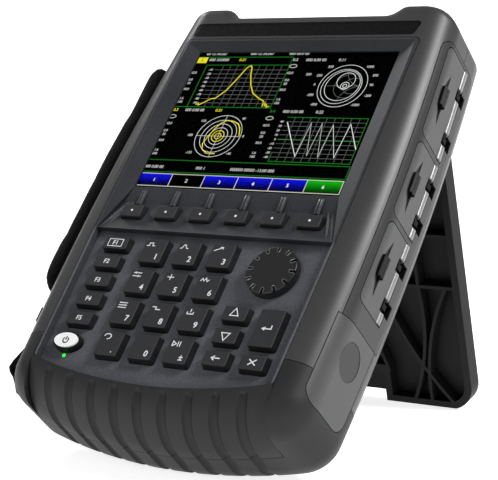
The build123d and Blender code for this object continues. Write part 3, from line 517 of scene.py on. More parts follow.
def glass(name):
    """Clear hard window with the faintest wipe marks."""
    finish, tree, shader = new_finish(name)
    wipe = speckle(tree, size=0.02, detail=5.0)
    coat(tree, shader, {
        "Base Color": between(tree, wipe, (0.97, 0.98, 1.0, 1.0), (1.0, 1.0, 1.0, 1.0)),
        "Roughness": 0.0,
        "Transmission Weight": 1.0,
        "IOR": 1.06,
    })
    return finish


PIXEL_SIZE = 0.0006
FADE_POWER = 1.5
FADED_TONE = 0.04


def lit(name, colour, strength, fade=None):
    """Lit part of the screen, fading between two heights where they are given."""
    finish, tree, shader = new_finish(name)
    pixels = speckle(tree, PIXEL_SIZE, detail=1.0)
    tone = toned(tree, pixels, colour, dark=0.9, light=1.1)
    if fade:
        rise = combined(tree, up_screen(tree, *fade), FADE_POWER, "POWER")
        tone = between(tree, rise, scaled(colour, FADED_TONE), tone)
    coat(tree, shader, {
        "Base Color": (0.002, 0.002, 0.002, 1.0),
        "Emission Color": tone,
        "Emission Strength": strength,
        "Roughness": 0.6,
        "Specular IOR Level": 0.0,
    })
    return finish


# Scale of a wave texture times the pitch of its rings or threads.
RING_WAVE = 0.314
THREAD_WAVE = 0.32


def ringed(name, colour, middle, pitch, roughness):
    """Plastic with fine turned rings round a middle on the side of the case."""
    finish, tree, shader = new_finish(name)
    mapping = add_node(tree, "ShaderNodeMapping", vector=place_in(tree),
                       location=[-part for part in middle])
    rings = add_node(tree, "ShaderNodeTexWave", vector=mapping.outputs[0], scale=RING_WAVE / pitch,
                     distortion=0.2)
    rings.wave_type = "RINGS"
    rings.rings_direction = "X"
    wave = rings.outputs[1]
    coat(tree, shader, {
        "Base Color": toned(tree, wave, colour, dark=0.8, light=1.2),
        "Roughness": spread(tree, wave, roughness - 0.05, roughness + 0.05, start=0.0, end=1.0),
        "Specular IOR Level": 0.4,
    })
    relief(tree, shader, wave, depth=0.00008, strength=0.5)
    return finish


def ink(name, colour):
    """Printed ink with tiny breaks in its tone."""
    finish, tree, shader = new_finish(name)
    patchy = speckle(tree, size=0.0008, detail=3.0)
    coat(tree, shader, {
        "Base Color": toned(tree, patchy, colour, dark=0.85, light=1.05),
        "Roughness": spread(tree, patchy, 0.5, 0.65),
        "Specular IOR Level": 0.2,
    })
    return finish


FIBRE_SIZE = 0.0009
THREAD_WEIGHT, FIBRE_WEIGHT = 0.5, 0.9


def woven(name, colour, thread, fuzz):
    """Woven or brushed fabric: crossing threads under loose fibres."""
    finish, tree, shader = new_finish(name)
    place = place_in(tree)
    waves = []
    for direction in ("Y", "Z"):
        wave = add_node(tree, "ShaderNodeTexWave", vector=place, scale=THREAD_WAVE / thread,
                        distortion=1.5, detail=1.0)
        wave.bands_direction = direction
        waves.append(wave.outputs[1])
    threads = combined(tree, *waves, "MAXIMUM")
    fibres = speckle(tree, FIBRE_SIZE, detail=6.0)
    both = weighed(tree, threads, THREAD_WEIGHT, fibres, FIBRE_WEIGHT)
    mixed = spread(tree, both, 0.0, 1.0, start=0.3, end=1.1)
    coat(tree, shader, {
        "Base Color": toned(tree, mixed, colour, dark=0.35, light=1.9),
        "Roughness": spread(tree, fibres, 0.85, 1.0),
        "Specular IOR Level": 0.1,
        "Sheen Weight": fuzz,
        "Sheen Roughness": 0.6,
    })
    relief(tree, shader, both, depth=0.0004, strength=0.8)
    return finish


COLOUR = {"subtype": "COLOR", "min": 0.0, "max": 1.0}
LENGTH = {"unit": "LENGTH", "precision": 4}
FINE_LENGTH = {"unit": "LENGTH", "precision": 5}


class CaseSettings(bpy.types.PropertyGroup):
    """Colours and surface of the case and what is fixed to it."""

    housing: FloatVectorProperty(
        name="Housing", description="Colour of the two shells",
        default=(0.036, 0.036, 0.0368), **COLOUR)
    bumper: FloatVectorProperty(
        name="Bumper", description="Colour of the rubber chin and boot",
        default=(0.0165, 0.0168, 0.0178), **COLOUR)
    panel: FloatVectorProperty(
        name="Panel", description="Colour of the front panel",
        default=(0.029, 0.0305, 0.0345), **COLOUR)
    tray: FloatVectorProperty(
        name="Tray", description="Colour of the side tray",
        default=(0.03, 0.0301, 0.0304), **COLOUR)
    doors: FloatVectorProperty(
        name="Doors", description="Colour of the doors on the side",
        default=(0.057, 0.0574, 0.058), **COLOUR)
    keys: FloatVectorProperty(
        name="Keys", description="Colour of the keys",
        default=(0.0165, 0.0169, 0.0192), **COLOUR)
    black: FloatVectorProperty(
        name="Black", description="Colour of the knob, pulls and anchors",
        default=(0.005, 0.005, 0.0054), **COLOUR)
    grain: FloatProperty(
        name="Grain", description="Size of the moulded grain",
        default=0.0007, min=0.0001, **LENGTH)
    roughness: FloatProperty(
        name="Roughness", description="How matt the case is",
        default=0.27, min=0.0, max=1.0, subtype="FACTOR")


class PrintSettings(bpy.types.PropertyGroup):
    """Sizes of the prints on the keys."""

    digit: FloatProperty(
        name="Digit", description="Height of a digit on a key",
        default=0.0034, min=0.001, **LENGTH)
    line: FloatProperty(
        name="Line", description="Width of a printed line",
        default=0.0005, min=0.0001, **LENGTH)
    sign: FloatProperty(
        name="Sign", description="Width of the small sign on a number key",
        default=0.0054, min=0.001, **LENGTH)
    dot: FloatProperty(
        name="Dot", description="Radius of the dot on a soft key",
        default=0.0007, min=0.0002, **FINE_LENGTH)
    thickness: FloatProperty(
        name="Thickness", description="Thickness of the ink",
        default=0.00004, min=0.00001, **FINE_LENGTH)
    colour: FloatVectorProperty(
        name="Ink", description="Colour of the ink",
        default=(0.72, 0.73, 0.74), **COLOUR)


class ScreenSettings(bpy.types.PropertyGroup):
    """The lit picture behind the window."""

    width: FloatProperty(
        name="Width", description="Width of the picture",
        default=0.1325, min=0.01, **LENGTH)
    height: FloatProperty(
        name="Height", description="Height of the picture",
        default=0.0994, min=0.01, **LENGTH)
    depth: FloatProperty(
        name="Depth", description="How far the picture lies behind the rim",
        default=0.0027, min=0.0023, max=0.0036, **LENGTH)
    shift: FloatVectorProperty(
        name="Shift", description="Place of the picture behind the window",
        default=(-0.0023, 0.0018), size=2, subtype="XYZ", **LENGTH)
    brightness: FloatProperty(
        name="Brightness", description="Strength of the lit lines",
        default=1.0, min=0.0, max=10.0)


class StrapSettings(bpy.types.PropertyGroup):
    """The hand strap on the left side."""

    swell: FloatProperty(
        name="Swell", description="Pressure that fills the pad",
        default=4.0, min=0.0, max=20.0)
    cap: FloatProperty(
        name="Cap", description="Furthest that filling moves the fabric",
        default=0.0011, min=0.0, **LENGTH)
    piping: FloatProperty(
        name="Piping", description="Distance of the seam from the rim",
        default=0.0055, min=0.001, **LENGTH)
    frames: IntProperty(
        name="Frames", description="Steps of filling",
        default=20, min=1, max=60)


class StageSettings(bpy.types.PropertyGroup):
    """Floor, lights and camera."""

    camera_spot: FloatVectorProperty(
        name="Camera", description="Camera place along the screen's axes",
        default=(0.5004, -0.4882, 0.6096), subtype="XYZ", **LENGTH)
    camera_look: FloatVectorProperty(
        name="Look", description="Camera direction along the screen's axes",
        default=(-0.545, 0.466, -0.697), subtype="XYZ")
    camera_up: FloatVectorProperty(
        name="Up", description="Camera's upward direction along the screen's axes",
        default=(-0.057, 0.809, 0.585), subtype="XYZ")
    lens: FloatProperty(
        name="Lens", description="Focal length in millimetres",
        default=120.97, min=10.0, max=500.0)
    floor_light: FloatProperty(
        name="Floor light", description="Glow of the pale floor",
        default=0.8, min=0.0)
    ambient: FloatProperty(
        name="Ambient", description="Strength of the surrounding light",
        default=0.22, min=0.0)
    key: FloatProperty(
        name="Key", description="Strength of the light from the right",
        default=3.3, min=0.0)
    rim: FloatProperty(
        name="Rim", description="Strength of the light from the left",
        default=0.55, min=0.0)
    fill: FloatProperty(
        name="Fill", description="Strength of the light from the front",
        default=5.0, min=0.0)


def case_finishes(settings):
    """Finish of each material slot."""
    rough = settings.roughness
    black = settings.black

    def plastic(name, colour, roughness, depth, size=1.0, **traits):
        """Moulded finish with a depth and a share of the size of the case's grain."""
        return moulded(name, colour, roughness, settings.grain * size, depth, **traits)

    # Grooves get a share of painted shade; the panel's slopes and the keys' sides get painted shade by the way
    # they face.
    return {
        "housing": plastic("housing_grain", settings.housing, rough + 0.1, 0.00003, 0.6, gloss=0.3),
        "bumper": plastic("bumper_rubber", settings.bumper, rough + 0.23, 0.00006, gloss=0.2),
        "panel": plastic("panel_satin", settings.panel, rough + 0.2, 0.00005,
                         mottle=0.35, gloss=0.2, groove=0.7, shade=paler_deck),
        "nameplate": plastic("nameplate_black", scaled(black, 0.7), 0.3, 0.00001, gloss=0.15),
        "window": glass("window_clear"),
        "screen": plastic("screen_back", scaled(black, 0.3), 0.6, 0.00001, gloss=0.05),
        "lamp": lit("lamp_green", (0.03, 1.0, 0.06), strength=1.4),
        "keys": plastic("key_charcoal", settings.keys, 0.46, 0.00002, 0.5,
                        mottle=0.12, gloss=0.35, groove=0.2, shade=darker_sides),
        "power_key": plastic("power_white", (0.80, 0.80, 0.80), 0.35, 0.00001, mottle=0.03),
        "knob": plastic("knob_black", scaled(black, 1.3), 0.4, 0.000005, 0.4),
        "steel": metal("steel_turned", (0.56, 0.56, 0.57), 0.3),
        "board": plastic("board_green", (0.02, 0.13, 0.05), 0.45, 0.00005, 4.0, mottle=0.3),
        "side_tray": plastic("tray_grain", settings.tray, rough + 0.12, 0.00005, gloss=0.25),
        "doors": plastic("door_grain", settings.doors, rough + 0.12, 0.00005, gloss=0.25),
        "battery_door": plastic("battery_door_grain", settings.doors, rough + 0.12, 0.00005,
                                gloss=0.25),
        "battery": plastic("battery_black", scaled(black, 2.0), 0.5, 0.00004),
        "stand": plastic("stand_dark", (0.009, 0.009, 0.0097), 0.5, 0.00006, gloss=0.12),
        "metal": metal("sheet_brushed", (0.45, 0.45, 0.46), 0.38, stretch=(14.0, 1.0, 1.0)),
        "strap": woven("strap_backing", (0.008, 0.008, 0.008), thread=0.0012, fuzz=0.05),
        "anchor": plastic("anchor_black", black, 0.55, 0.00004, gloss=0.1),
    }


class ANALYZER_OT_finish_case(bpy.types.Operator):
    """Give every part of the case its finish"""

    bl_idname = "analyzer.finish_case"
    bl_label = "Finish the case"

    def execute(self, context):
        settings = context.scene.analyzer_case
        finishes = case_finishes(settings)
        low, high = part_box("battery_button")
        special = {
            "battery_button": ringed("button_rings", scaled(settings.doors, 0.3), (low + high) / 2,
                                     pitch=0.0016, roughness=0.5),
            "door_hinge_pins": metal("pin_blackened", (0.03, 0.03, 0.032), 0.45),
        }
        for name, node in frame["nodes"].items():
            node.data.materials.clear()
            node.data.materials.append(special.get(name, finishes[SLOTS[name]]))
        return {"FINISHED"}


# Signs, arrows and triangles of the keys, in a box of one by one or as angles.
SIGNS = {
    "key_1": [[(0, 0.2), (0.3, 0.2), (0.3, 0.8), (0.7, 0.8), (0.7, 0.2), (1, 0.2)]],
    "key_2": [[(0, 0.1), (0.25, 0.2), (0.38, 0.75), (0.5, 0.95), (0.62, 0.75), (0.75, 0.2),
               (1, 0.1)]],
    "key_3": [[(0, 0.1), (0.9, 0.85)], [(0.6, 0.9), (0.95, 0.9), (0.95, 0.5)]],
    "key_4": [[(0, 0.85), (1, 0.85)], [(0, 0.15), (1, 0.15)], [(0.3, 0.6), (0.3, 1.1)],
              [(0.7, -0.1), (0.7, 0.4)]],
    "key_5": [[(0.5, -0.1), (0.5, 1.1)], [(0.1, 0.5), (0.9, 0.5)]],
    "key_6": [[(0, 0.2), (0.2, 0.8), (0.4, 0.3), (0.6, 0.9), (0.8, 0.2), (1, 0.6)]],
    "key_7": [[(0, 0), (1, 0)], [(0, 0.5), (1, 0.5)], [(0, 1), (1, 1)]],
    "key_8": [[(0, 0.75), (0.45, 0.75), (0.45, 0.25), (1, 0.25)]],
    "key_9": [[(0.15, 0.45), (0.15, 0), (0.85, 0), (0.85, 0.45)], [(0.5, 1.05), (0.5, 0.35)]],
    "key_point": [[(0.1, 0.5), (0.2, 0.9), (0.5, 1.05), (0.8, 0.9), (0.9, 0.5), (0.8, 0.1),
                   (0.5, -0.05)]],
    "key_sign": [[(0.1, 0), (0.1, 1), (0.5, 0.5), (0.1, 0)], [(0.7, 0), (0.7, 1)],
                 [(0.95, 0), (0.95, 1)]],
}
WORDS = {
    **{f"key_{digit}": str(digit) for digit in range(10)},
    "key_point": ".",
    "key_sign": "±",
}
ARROWS = {
    "key_enter": [[(1.0, 1.0), (1.0, 0.35), (0.1, 0.35)],
                  [(0.35, 0.62), (0.06, 0.35), (0.35, 0.08)]],
    "key_escape": [[(0.1, 0.0), (0.9, 1.0)], [(0.1, 1.0), (0.9, 0.0)]],
    "key_back": [[(1.0, 0.5), (0.1, 0.5)], [(0.4, 0.9), (0.06, 0.5), (0.4, 0.1)]],
}
TRIANGLES = {"key_up": (90.0, 210.0, 330.0), "key_down": (270.0, 30.0, 150.0)}

# Prints reach a little into what carries them.
PRINT_SINK = 0.02
DIGIT_INSET = (3.3, 3.4)
SIGN_INSET = 1.5
SIGN_SHAPE = 0.55
ARROW_SHAPE = 0.6
ARROW_WEIGHT = 1.2
TRIANGLE_SHARE = 0.55
FUNCTION_SHARE = 0.8
BADGE_HALF = (4.6, 2.3)
BADGE_WEIGHT = 0.8
DOT_POINTS = 24


def print_span(level, settings):
    """Low and high level of a print on a face."""
    return level - PRINT_SINK, level + settings.thickness / MM


class ANALYZER_OT_print_keys(bpy.types.Operator):
    """Print numbers and signs on the keypad keys"""

    bl_idname = "analyzer.print_keys"
    bl_label = "Print the keys"

    def execute(self, context):
        settings = context.scene.analyzer_prints
        white = ink("key_ink", settings.colour)
        line = settings.line / MM
        digit = settings.digit / MM
        sign = settings.sign / MM
        for key in nodes_called("key_", "function_key_"):
            left, right, low, high, level = top_of(key)
            x, y = middle_of(left, right, low, high)
            span = print_span(level, settings)
            mesh = bmesh.new()
            if key in WORDS:
                spot = (right - DIGIT_INSET[0], low + DIGIT_INSET[1])
                add_words(mesh, WORDS[key], digit, spot, *span)
            height = sign * SIGN_SHAPE
            corner = (left + SIGN_INSET, high - SIGN_INSET - height)
            for path in SIGNS.get(key, []):
                add_ribbon(mesh, fitted(path, corner, sign, height), line, *span)
            height = sign * ARROW_SHAPE
            corner = (x - sign / 2, y - height / 2)
            for path in ARROWS.get(key, []):
                add_ribbon(mesh, fitted(path, corner, sign, height), line * ARROW_WEIGHT, *span)
            if key in TRIANGLES:
                points = [point_round((x, y), sign * TRIANGLE_SHARE, angle)
                          for angle in TRIANGLES[key]]
                add_ribbon(mesh, points, line, *span, closed=True)
            if key.startswith("function_key_"):
                add_words(mesh, "F" + key[-1], digit * FUNCTION_SHARE, (x, y), *span)
                if key.endswith("1"):
                    across, along = BADGE_HALF
                    badge = box_points(x - across, x + across, y - along, y + along)
                    add_ribbon(mesh, badge, line * BADGE_WEIGHT, *span, closed=True)
            make_piece(key + "_print", mesh, SCREEN, key, [white])
        return {"FINISHED"}


class ANALYZER_OT_dot_softkeys(bpy.types.Operator):
    """Print a white dot on every soft key"""

    bl_idname = "analyzer.dot_softkeys"
    bl_label = "Dot the soft keys"

    def execute(self, context):
        settings = context.scene.analyzer_prints
        white = ink("dot_ink", settings.colour)
        for key in nodes_called("softkey_"):
            *edges, level = top_of(key)
            mesh = bmesh.new()
            outline = ring_points(middle_of(*edges), settings.dot / MM, DOT_POINTS)
            add_prism(mesh, outline, *print_span(level, settings))
            make_piece(key + "_dot", mesh, SCREEN, key, [white])
        return {"FINISHED"}


# Sign of the power button: a ring that is open at the top, and a bar.
POWER_LINE = 0.75
POWER_DROP = 0.2
POWER_BAR = 2.1
POWER_RADIUS = 1.7
POWER_POINTS = 22
POWER_OPENING = (125.0, 290.0)

# Black skirt round the white cap: what tells the cap from its shelf, gaps to the cap and to
# the shelf's rim, and levels over the shelf.
CAP_LEAST = 0.2
SHELF_BAND = 0.05
SKIRT_POINTS = 64
SKIRT_DEPTH = 4.0
SKIRT_INNER, SKIRT_COLLAR, SKIRT_OUTER = -0.1, 0.12, 0.08
SKIRT_EDGE, SKIRT_TOP = 0.1, 0.25


class ANALYZER_OT_mark_power(bpy.types.Operator):
    """Print the sign on the power button and cover its skirt"""

    bl_idname = "analyzer.mark_power"
    bl_label = "Mark the power button"

    def execute(self, context):
        left, right, low, high, level = top_of("power_button")
        x, y = middle_of(left, right, low, high)
        span = print_span(level, context.scene.analyzer_prints)
        foot = (x, y - POWER_DROP)
        mesh = bmesh.new()
        ring = ring_points(foot, POWER_RADIUS, POWER_POINTS, *POWER_OPENING)
        add_ribbon(mesh, ring, POWER_LINE, *span)
        add_ribbon(mesh, [foot, (x, y + POWER_BAR)], POWER_LINE, *span)
        dark = ink("power_ink", (0.004, 0.004, 0.004))
        make_piece("power_sign", mesh, SCREEN, "power_button", [dark])
        mesh = self.skirt((x, y), ((right - left) / 2, (high - low) / 2), level)
        black = moulded("skirt_black", context.scene.analyzer_case.black, 0.4,
                        grain=0.0005, depth=0.00002, gloss=0.15)
        make_piece("power_skirt", mesh, SCREEN, "power_button", [black])
        return {"FINISHED"}

    def skirt(self, middle, cap, level):
        """Ring that covers the shelf round the cap."""
        spots = spots_of("power_button", SCREEN)
        shelf = max(spot.z for spot in spots if spot.z < level - CAP_LEAST)
        edge = [spot for spot in spots if abs(spot.z - shelf) < SHELF_BAND]
        rim = (max(spot.x for spot in edge) - middle[0], max(spot.y for spot in edge) - middle[1])
        sizes = ((cap, SKIRT_INNER), (cap, SKIRT_COLLAR), (rim, SKIRT_OUTER))
        ovals = [oval_points(middle, half[0] + gap, half[1] + gap, SKIRT_POINTS)
                 for half, gap in sizes]
        base = shelf - SKIRT_DEPTH
        rings = []
        for inner, collar, outer in zip(*ovals):
            rings.append([(*inner, base), (*outer, base), (*outer, shelf + SKIRT_EDGE),
                          (*collar, shelf + SKIRT_TOP), (*inner, shelf + SKIRT_TOP)])
        mesh = bmesh.new()
        add_tube(mesh, rings, closed_path=True)
        return mesh


# Inks of the picture, with the lit colour of each but black and the heights where it fades.
BLACK, WHITE, GREY, GREEN, YELLOW, BLUE, LIME, FRAME, TEXT = range(9)
SCREEN_LIGHTS = (
    ("screen_white", (0.80, 0.82, 0.80), None),
    ("screen_grey", (0.17, 0.18, 0.17), None),
    ("screen_green", (0.01, 0.22, 0.015), None),
    ("screen_yellow", (0.78, 0.70, 0.02), None),
    ("screen_blue", (0.004, 0.006, 0.85), (-45.8, -38.2)),
    ("screen_lime", (0.004, 0.52, 0.004), (-46.6, -38.2)),
    ("screen_frame", (0.62, 0.61, 0.50), None),
    ("screen_text", (0.60, 0.61, 0.60), None),
)
LAYER = 0.03
PLATE_LEFT, PLATE_TOP, PLATE_THICKNESS = 3.2, 2.0, 0.8

# Row of labels above the soft keys.
LABELS = (BLUE, BLACK, BLUE, BLUE, BLUE, LIME)
LABEL_LOW, LABEL_HIGH = -48.6, -40.0
LABEL_MARGIN = 0.25
LABEL_LINE = 0.45
LABEL_DIGIT = 2.3
LABEL_SINK = 0.01

# Grids as left, right, low and high edge.
GRIDS = ((-50, 0, 8.5, 39.5), (14, 65, -28.7, 2.2))
GRID_CELLS = 10
GRID_LINE = 0.18

# Curves of three charts.
BELL = [(-51.5, 10), (-50.2, 11.3), (-49.6, 9.8), (-47, 11.5), (-43, 14.5), (-40, 15), (-35, 21),
        (-31.5, 29), (-28, 38), (-26, 39.5), (-24.6, 38), (-23.4, 33), (-20, 25), (-16, 19),
        (-10, 15), (-6.5, 13.5), (-6, 9.5), (-5.2, 12.4), (-4.4, 10), (-3.6, 11), (-3, 9),
        (-1.2, 9.8)]
LOOP = [(-12.2, -11.8), (-13.7, -6.8), (-16.2, -3.3), (-20.2, -1.5), (-24.7, -1), (-28.2, -3.3),
        (-30.7, -7.8), (-32.7, -12.8), (-34, -17.8), (-32.7, -21.8), (-28.7, -24.6),
        (-22.7, -24.8)]
SAW = [(15.3, -1.3), (29.6, -24.8), (30.8, -1.5), (36.6, -23.8), (37.8, -1.8), (43.8, -24.8),
       (45.1, -2.8), (53.8, -24.8), (55.6, -1.8), (65, -18.8)]

# Lines as path, width, layer and ink.
LINES = [
    ([(-66, 46), (0, 46), (0, 8.5), (-66, 8.5)], 0.36, 1, GREEN),
    ([(-57, 8.5), (-57, 40), (0, 40)], 0.36, 1, GREEN),
    ([(-66, 8.5), (-66, 46)], 0.36, 1, GREEN),
    ([(14, 2.2), (65, 2.2), (65, -28.7), (14, -28.7), (14, -22)], 0.36, 1, GREEN),
    ([(14, -13.5), (65, -13.5)], 0.36, 1, GREEN),
    ([(-66, -30.3), (66, -30.3), (66, -38.7), (-66, -38.7)], 0.36, 1, GREEN),
    ([(27.8, 25), (52.2, 25)], 0.2, 0, GREY),
    ([(-41, -12.3), (-11, -12.3)], 0.22, 0, WHITE),
    ([(-26, -27.3), (-26, 2.7)], 0.22, 0, WHITE),
    (BELL, 0.62, 2, YELLOW),
    (LOOP, 0.62, 2, YELLOW),
    (SAW, 0.56, 2, WHITE),
]

# Circles as middle, radii, width, layer and ink.
CIRCLES = [
    ((40, 25), (15,), 0.3, 1, WHITE),
    ((39.4, 24.6), (12.3,), 0.3, 1, WHITE),
    ((39.9, 25.2), (10.7,), 0.3, 1, WHITE),
    ((41.1, 28.7), (5.6,), 0.34, 1, WHITE),
    ((41.5, 25), (2.6, 1.2), 0.34, 1, WHITE),
    ((43.5, 25), (8.6,), 0.2, 0, GREY),
    ((46.5, 25), (5.6,), 0.2, 0, GREY),
    ((-26, -12.3), (14.8, 11.5, 8.7, 6.0), 0.28, 0, WHITE),
    ((-26.2, -12.3), (3.9, 2.0), 0.45, 1, YELLOW),
]
CIRCLE_POINTS = 56

# Quarter circles as middle and first angle.
ARCS = (((52.2, 37.2), 180.0), ((52.2, 12.8), 90.0))
ARC_RADIUS = 12.2
ARC_POINTS = 16
ARC_LINE = 0.2

# Readings: flag, headings, marks round the charts, falling scales, columns and ovals.
READING_LAYER = 3
FLAG = (-65.6, -58.4, 41.6, 46.0)
FLAG_HEIGHT = 2.2
HEADING_HEIGHT = 1.9
HEADINGS = [
    ("00 12 34.567", -53.5, 48.6, TEXT), ("000 12 34.567", -22, 48.6, TEXT),
    ("000 00.0 00", 3, 48.6, TEXT), ("000 10.0000", -50, 44, TEXT), ("0.21", -33.5, 44, YELLOW),
    ("0.2", 2.3, 44, TEXT), ("000 0.00 00", 16, 43.8, TEXT), ("0.11", 33, 43.8, TEXT),
    ("0.3", -63.5, 6.2, YELLOW), ("000 0.00 00", -50.3, 6.2, TEXT), ("0.21", -33.5, 6.2, YELLOW),
    ("0.4", 2.5, 6.2, GREEN), ("000 0.00 00", 16, 6.2, TEXT), ("0.22", 33, 6.2, TEXT),
    ("000 0.00 00", -59.5, -35.2, TEXT), ("000 1", -27.5, -35.2, TEXT),
    ("000000 00000 -13.00 000", 6.5, -35.2, TEXT),
]
MARK_HEIGHT = 1.6
MARKS = [
    ("250", 27.5, 38.8), ("1000", 52.5, 38.8), ("500", 15.3, 33.2), ("250", 22.6, 32.4),
    ("200", 58, 32.6), ("0", 22, 25.8), ("90", 58, 25.8), ("-200", 22, 18.4),
    ("-200", 58.5, 18.2), ("-500", 27, 11.6), ("-1000", 53, 11.6), ("135", -40.5, -1.6),
    ("45", -14, 0.6), ("180", -45.2, -12), ("0", -9.2, -12), ("-135", -40.5, -24.4),
    ("-45", -13.6, -24.4),
]
SCALES = ((-10, -51.2, 36.4), (40, 12.8, -1.0))
SCALE_HEIGHT = 1.5
SCALE_ROWS = 9
SCALE_STEP = 10
SCALE_PITCH = 3.1
COLUMN = [(34.2, "62.0"), (28.9, "0.0"), (26.2, "20"), (21.8, "30.0"), (14.8, "1.6"), (12.1, "100")]
COLUMN_SPOTS = ((-63.6, 0.0), (2.6, 0.0), (-63.6, 38.0), (2.6, 38.0))
OVALS = ((-63.6, 1.2), (2.6, 39.2), (2.6, 1.2))
OVAL_HALF = (2.4, 1.2)
OVAL_POINTS = 20
OVAL_LINE = 0.3


class Picture:
    """Picture of the screen, drawn in thin layers from the face of its plate."""

    def __init__(self, face):
        self.mesh = bmesh.new()
        self.face = face

    def span(self, layer, layers=1):
        """Low and high level of a layer, or of some."""
        return self.face + LAYER * layer, self.face + LAYER * (layer + layers)

    def block(self, outline, layer, tone, sink=0.0):
        """Filled area."""
        low, high = self.span(layer)
        add_prism(self.mesh, outline, low - sink, high, tone)

    def line(self, points, width, layer, tone, closed=False, layers=1):
        """Line along a path."""
        add_ribbon(self.mesh, points, width, *self.span(layer, layers), tone, closed)

    def words(self, text, height, spot, layer, tone, side="CENTER"):
        """Numbers at a spot."""
        add_words(self.mesh, text, height, spot, *self.span(layer), tone, side)


class ANALYZER_OT_light_screen(bpy.types.Operator):
    """Draw the lit picture behind the window"""

    bl_idname = "analyzer.light_screen"
    bl_label = "Light the screen"

    def execute(self, context):
        settings = context.scene.analyzer_screen
        across = settings.width / MM / 2
        along = settings.height / MM / 2
        picture = Picture(-settings.depth / MM)
        self.draw_labels(picture, across)
        self.draw_charts(picture)
        self.write_readings(picture)
        mesh = picture.mesh
        shift = (settings.shift[0] / MM, settings.shift[1] / MM, 0.0)
        bmesh.ops.translate(mesh, verts=mesh.verts, vec=shift)
        plate = box_points(-across - PLATE_LEFT, across, -along, along + PLATE_TOP)
        add_prism(mesh, plate, picture.face - PLATE_THICKNESS, picture.face, BLACK)
        finishes = [moulded("screen_black", (0.0004, 0.0004, 0.0005), 0.6,
                            grain=0.002, depth=0.000001, gloss=0.0)]
        finishes += [lit(name, colour, settings.brightness, fade)
                     for name, colour, fade in SCREEN_LIGHTS]
        make_piece("display_picture", mesh, SCREEN, ROOT, finishes)
        return {"FINISHED"}

    def draw_labels(self, picture, across):
        """Row of framed labels above the soft keys."""
        pitch = 2 * (across - LABEL_MARGIN) / len(LABELS)
        for index, tone in enumerate(LABELS):
            left = LABEL_MARGIN - across + pitch * index
            edges = (left, left + pitch, LABEL_LOW, LABEL_HIGH)
            outline = box_points(*edges)
            if tone != BLACK:
                picture.block(outline, 0, tone, LABEL_SINK)
            picture.line(outline, LABEL_LINE, 0, FRAME, closed=True, layers=2)
            picture.words(str(index + 1), LABEL_DIGIT, middle_of(*edges), 2, WHITE)

    def draw_charts(self, picture):
        """Two grids, a chart of circles, a polar chart and their curves."""
        for edges in GRIDS:
            self.draw_grid(picture, *edges)
        for line in LINES:
            picture.line(*line)
        for middle, radii, *style in CIRCLES:
            for radius in radii:
                picture.line(ring_points(middle, radius, CIRCLE_POINTS), *style, closed=True)
        for middle, start in ARCS:
            arc = ring_points(middle, ARC_RADIUS, ARC_POINTS, start, 90.0)
            picture.line(arc, ARC_LINE, 0, GREY)

    def draw_grid(self, picture, left, right, low, high):
        """Even grid of thin grey lines."""
        for cell in range(1, GRID_CELLS):
            x = left + (right - left) * cell / GRID_CELLS
            y = low + (high - low) * cell / GRID_CELLS
            picture.line([(x, low), (x, high)], GRID_LINE, 0, GREY)
            picture.line([(left, y), (right, y)], GRID_LINE, 0, GREY)

    def write_readings(self, picture):
        """Yellow flag, headings, scales and columns of numbers."""
        picture.block(box_points(*FLAG), 0, YELLOW)
        picture.words("1", FLAG_HEIGHT, middle_of(*FLAG), 1, BLACK)
        for text, x, y, tone in HEADINGS:
            picture.words(text, HEADING_HEIGHT, (x, y), READING_LAYER, tone)
        for text, x, y in MARKS:
            picture.words(text, MARK_HEIGHT, (x, y), READING_LAYER, TEXT)
        for row in range(SCALE_ROWS):
            for first, x, y in SCALES:
                picture.words(str(first - SCALE_STEP * row), SCALE_HEIGHT,
                              (x, y - SCALE_PITCH * row), READING_LAYER, TEXT, "RIGHT")
        for x, drop in COLUMN_SPOTS:
            for y, text in COLUMN:
                picture.words(text, MARK_HEIGHT, (x, y - drop), READING_LAYER, TEXT)
        for middle in OVALS:
            oval = oval_points(middle, *OVAL_HALF, OVAL_POINTS)
            picture.line(oval, OVAL_LINE, READING_LAYER, WHITE, closed=True)


# Profile of a pull, out of the door and forward from its hinge, with one groove.
PULL_PROFILE = [(-0.4, 13.0), (2.9, 13.0), (3.7, 13.7), (3.7, 15.0), (3.25, 15.4), (3.25, 16.2),
                (3.7, 16.6), (3.7, 17.9), (2.9, 18.6), (-0.4, 18.6)]
PULL_REACH = 6.2
PULL_BEVEL = 0.15


class ANALYZER_OT_fit_pulls(bpy.types.Operator):
    """Put the grooved black pull on each door of the side"""

    bl_idname = "analyzer.fit_pulls"
    bl_label = "Fit the door pulls"

    def execute(self, context):
        black = moulded("pull_black", scaled(context.scene.analyzer_case.black, 0.7), 0.3,
                        grain=0.0006, depth=0.00002, gloss=0.06)
        for door in DOORS:
            mesh = bmesh.new()
            add_tube(mesh, [[(x, reach, z) for x, z in PULL_PROFILE]
                            for reach in (-PULL_REACH, PULL_REACH)])
            long_edges = [edge for edge in mesh.edges if edge.calc_length() > PULL_REACH]
            bmesh.ops.bevel(mesh, geom=long_edges, offset=PULL_BEVEL, segments=2, affect="EDGES")
            make_piece(door + "_pull", mesh, door_axes(door), door, [black])
        return {"FINISHED"}


# Edge of one slot of the knob, from the knob's middle.
SLOT_PATH = [(13.8, -0.85), (11.3, -0.85), (11.0, -0.5), (11.0, 0.5), (11.3, 0.85), (13.8, 0.85)]
SLOT_COUNT = 12
SLOT_BEAD = 0.2


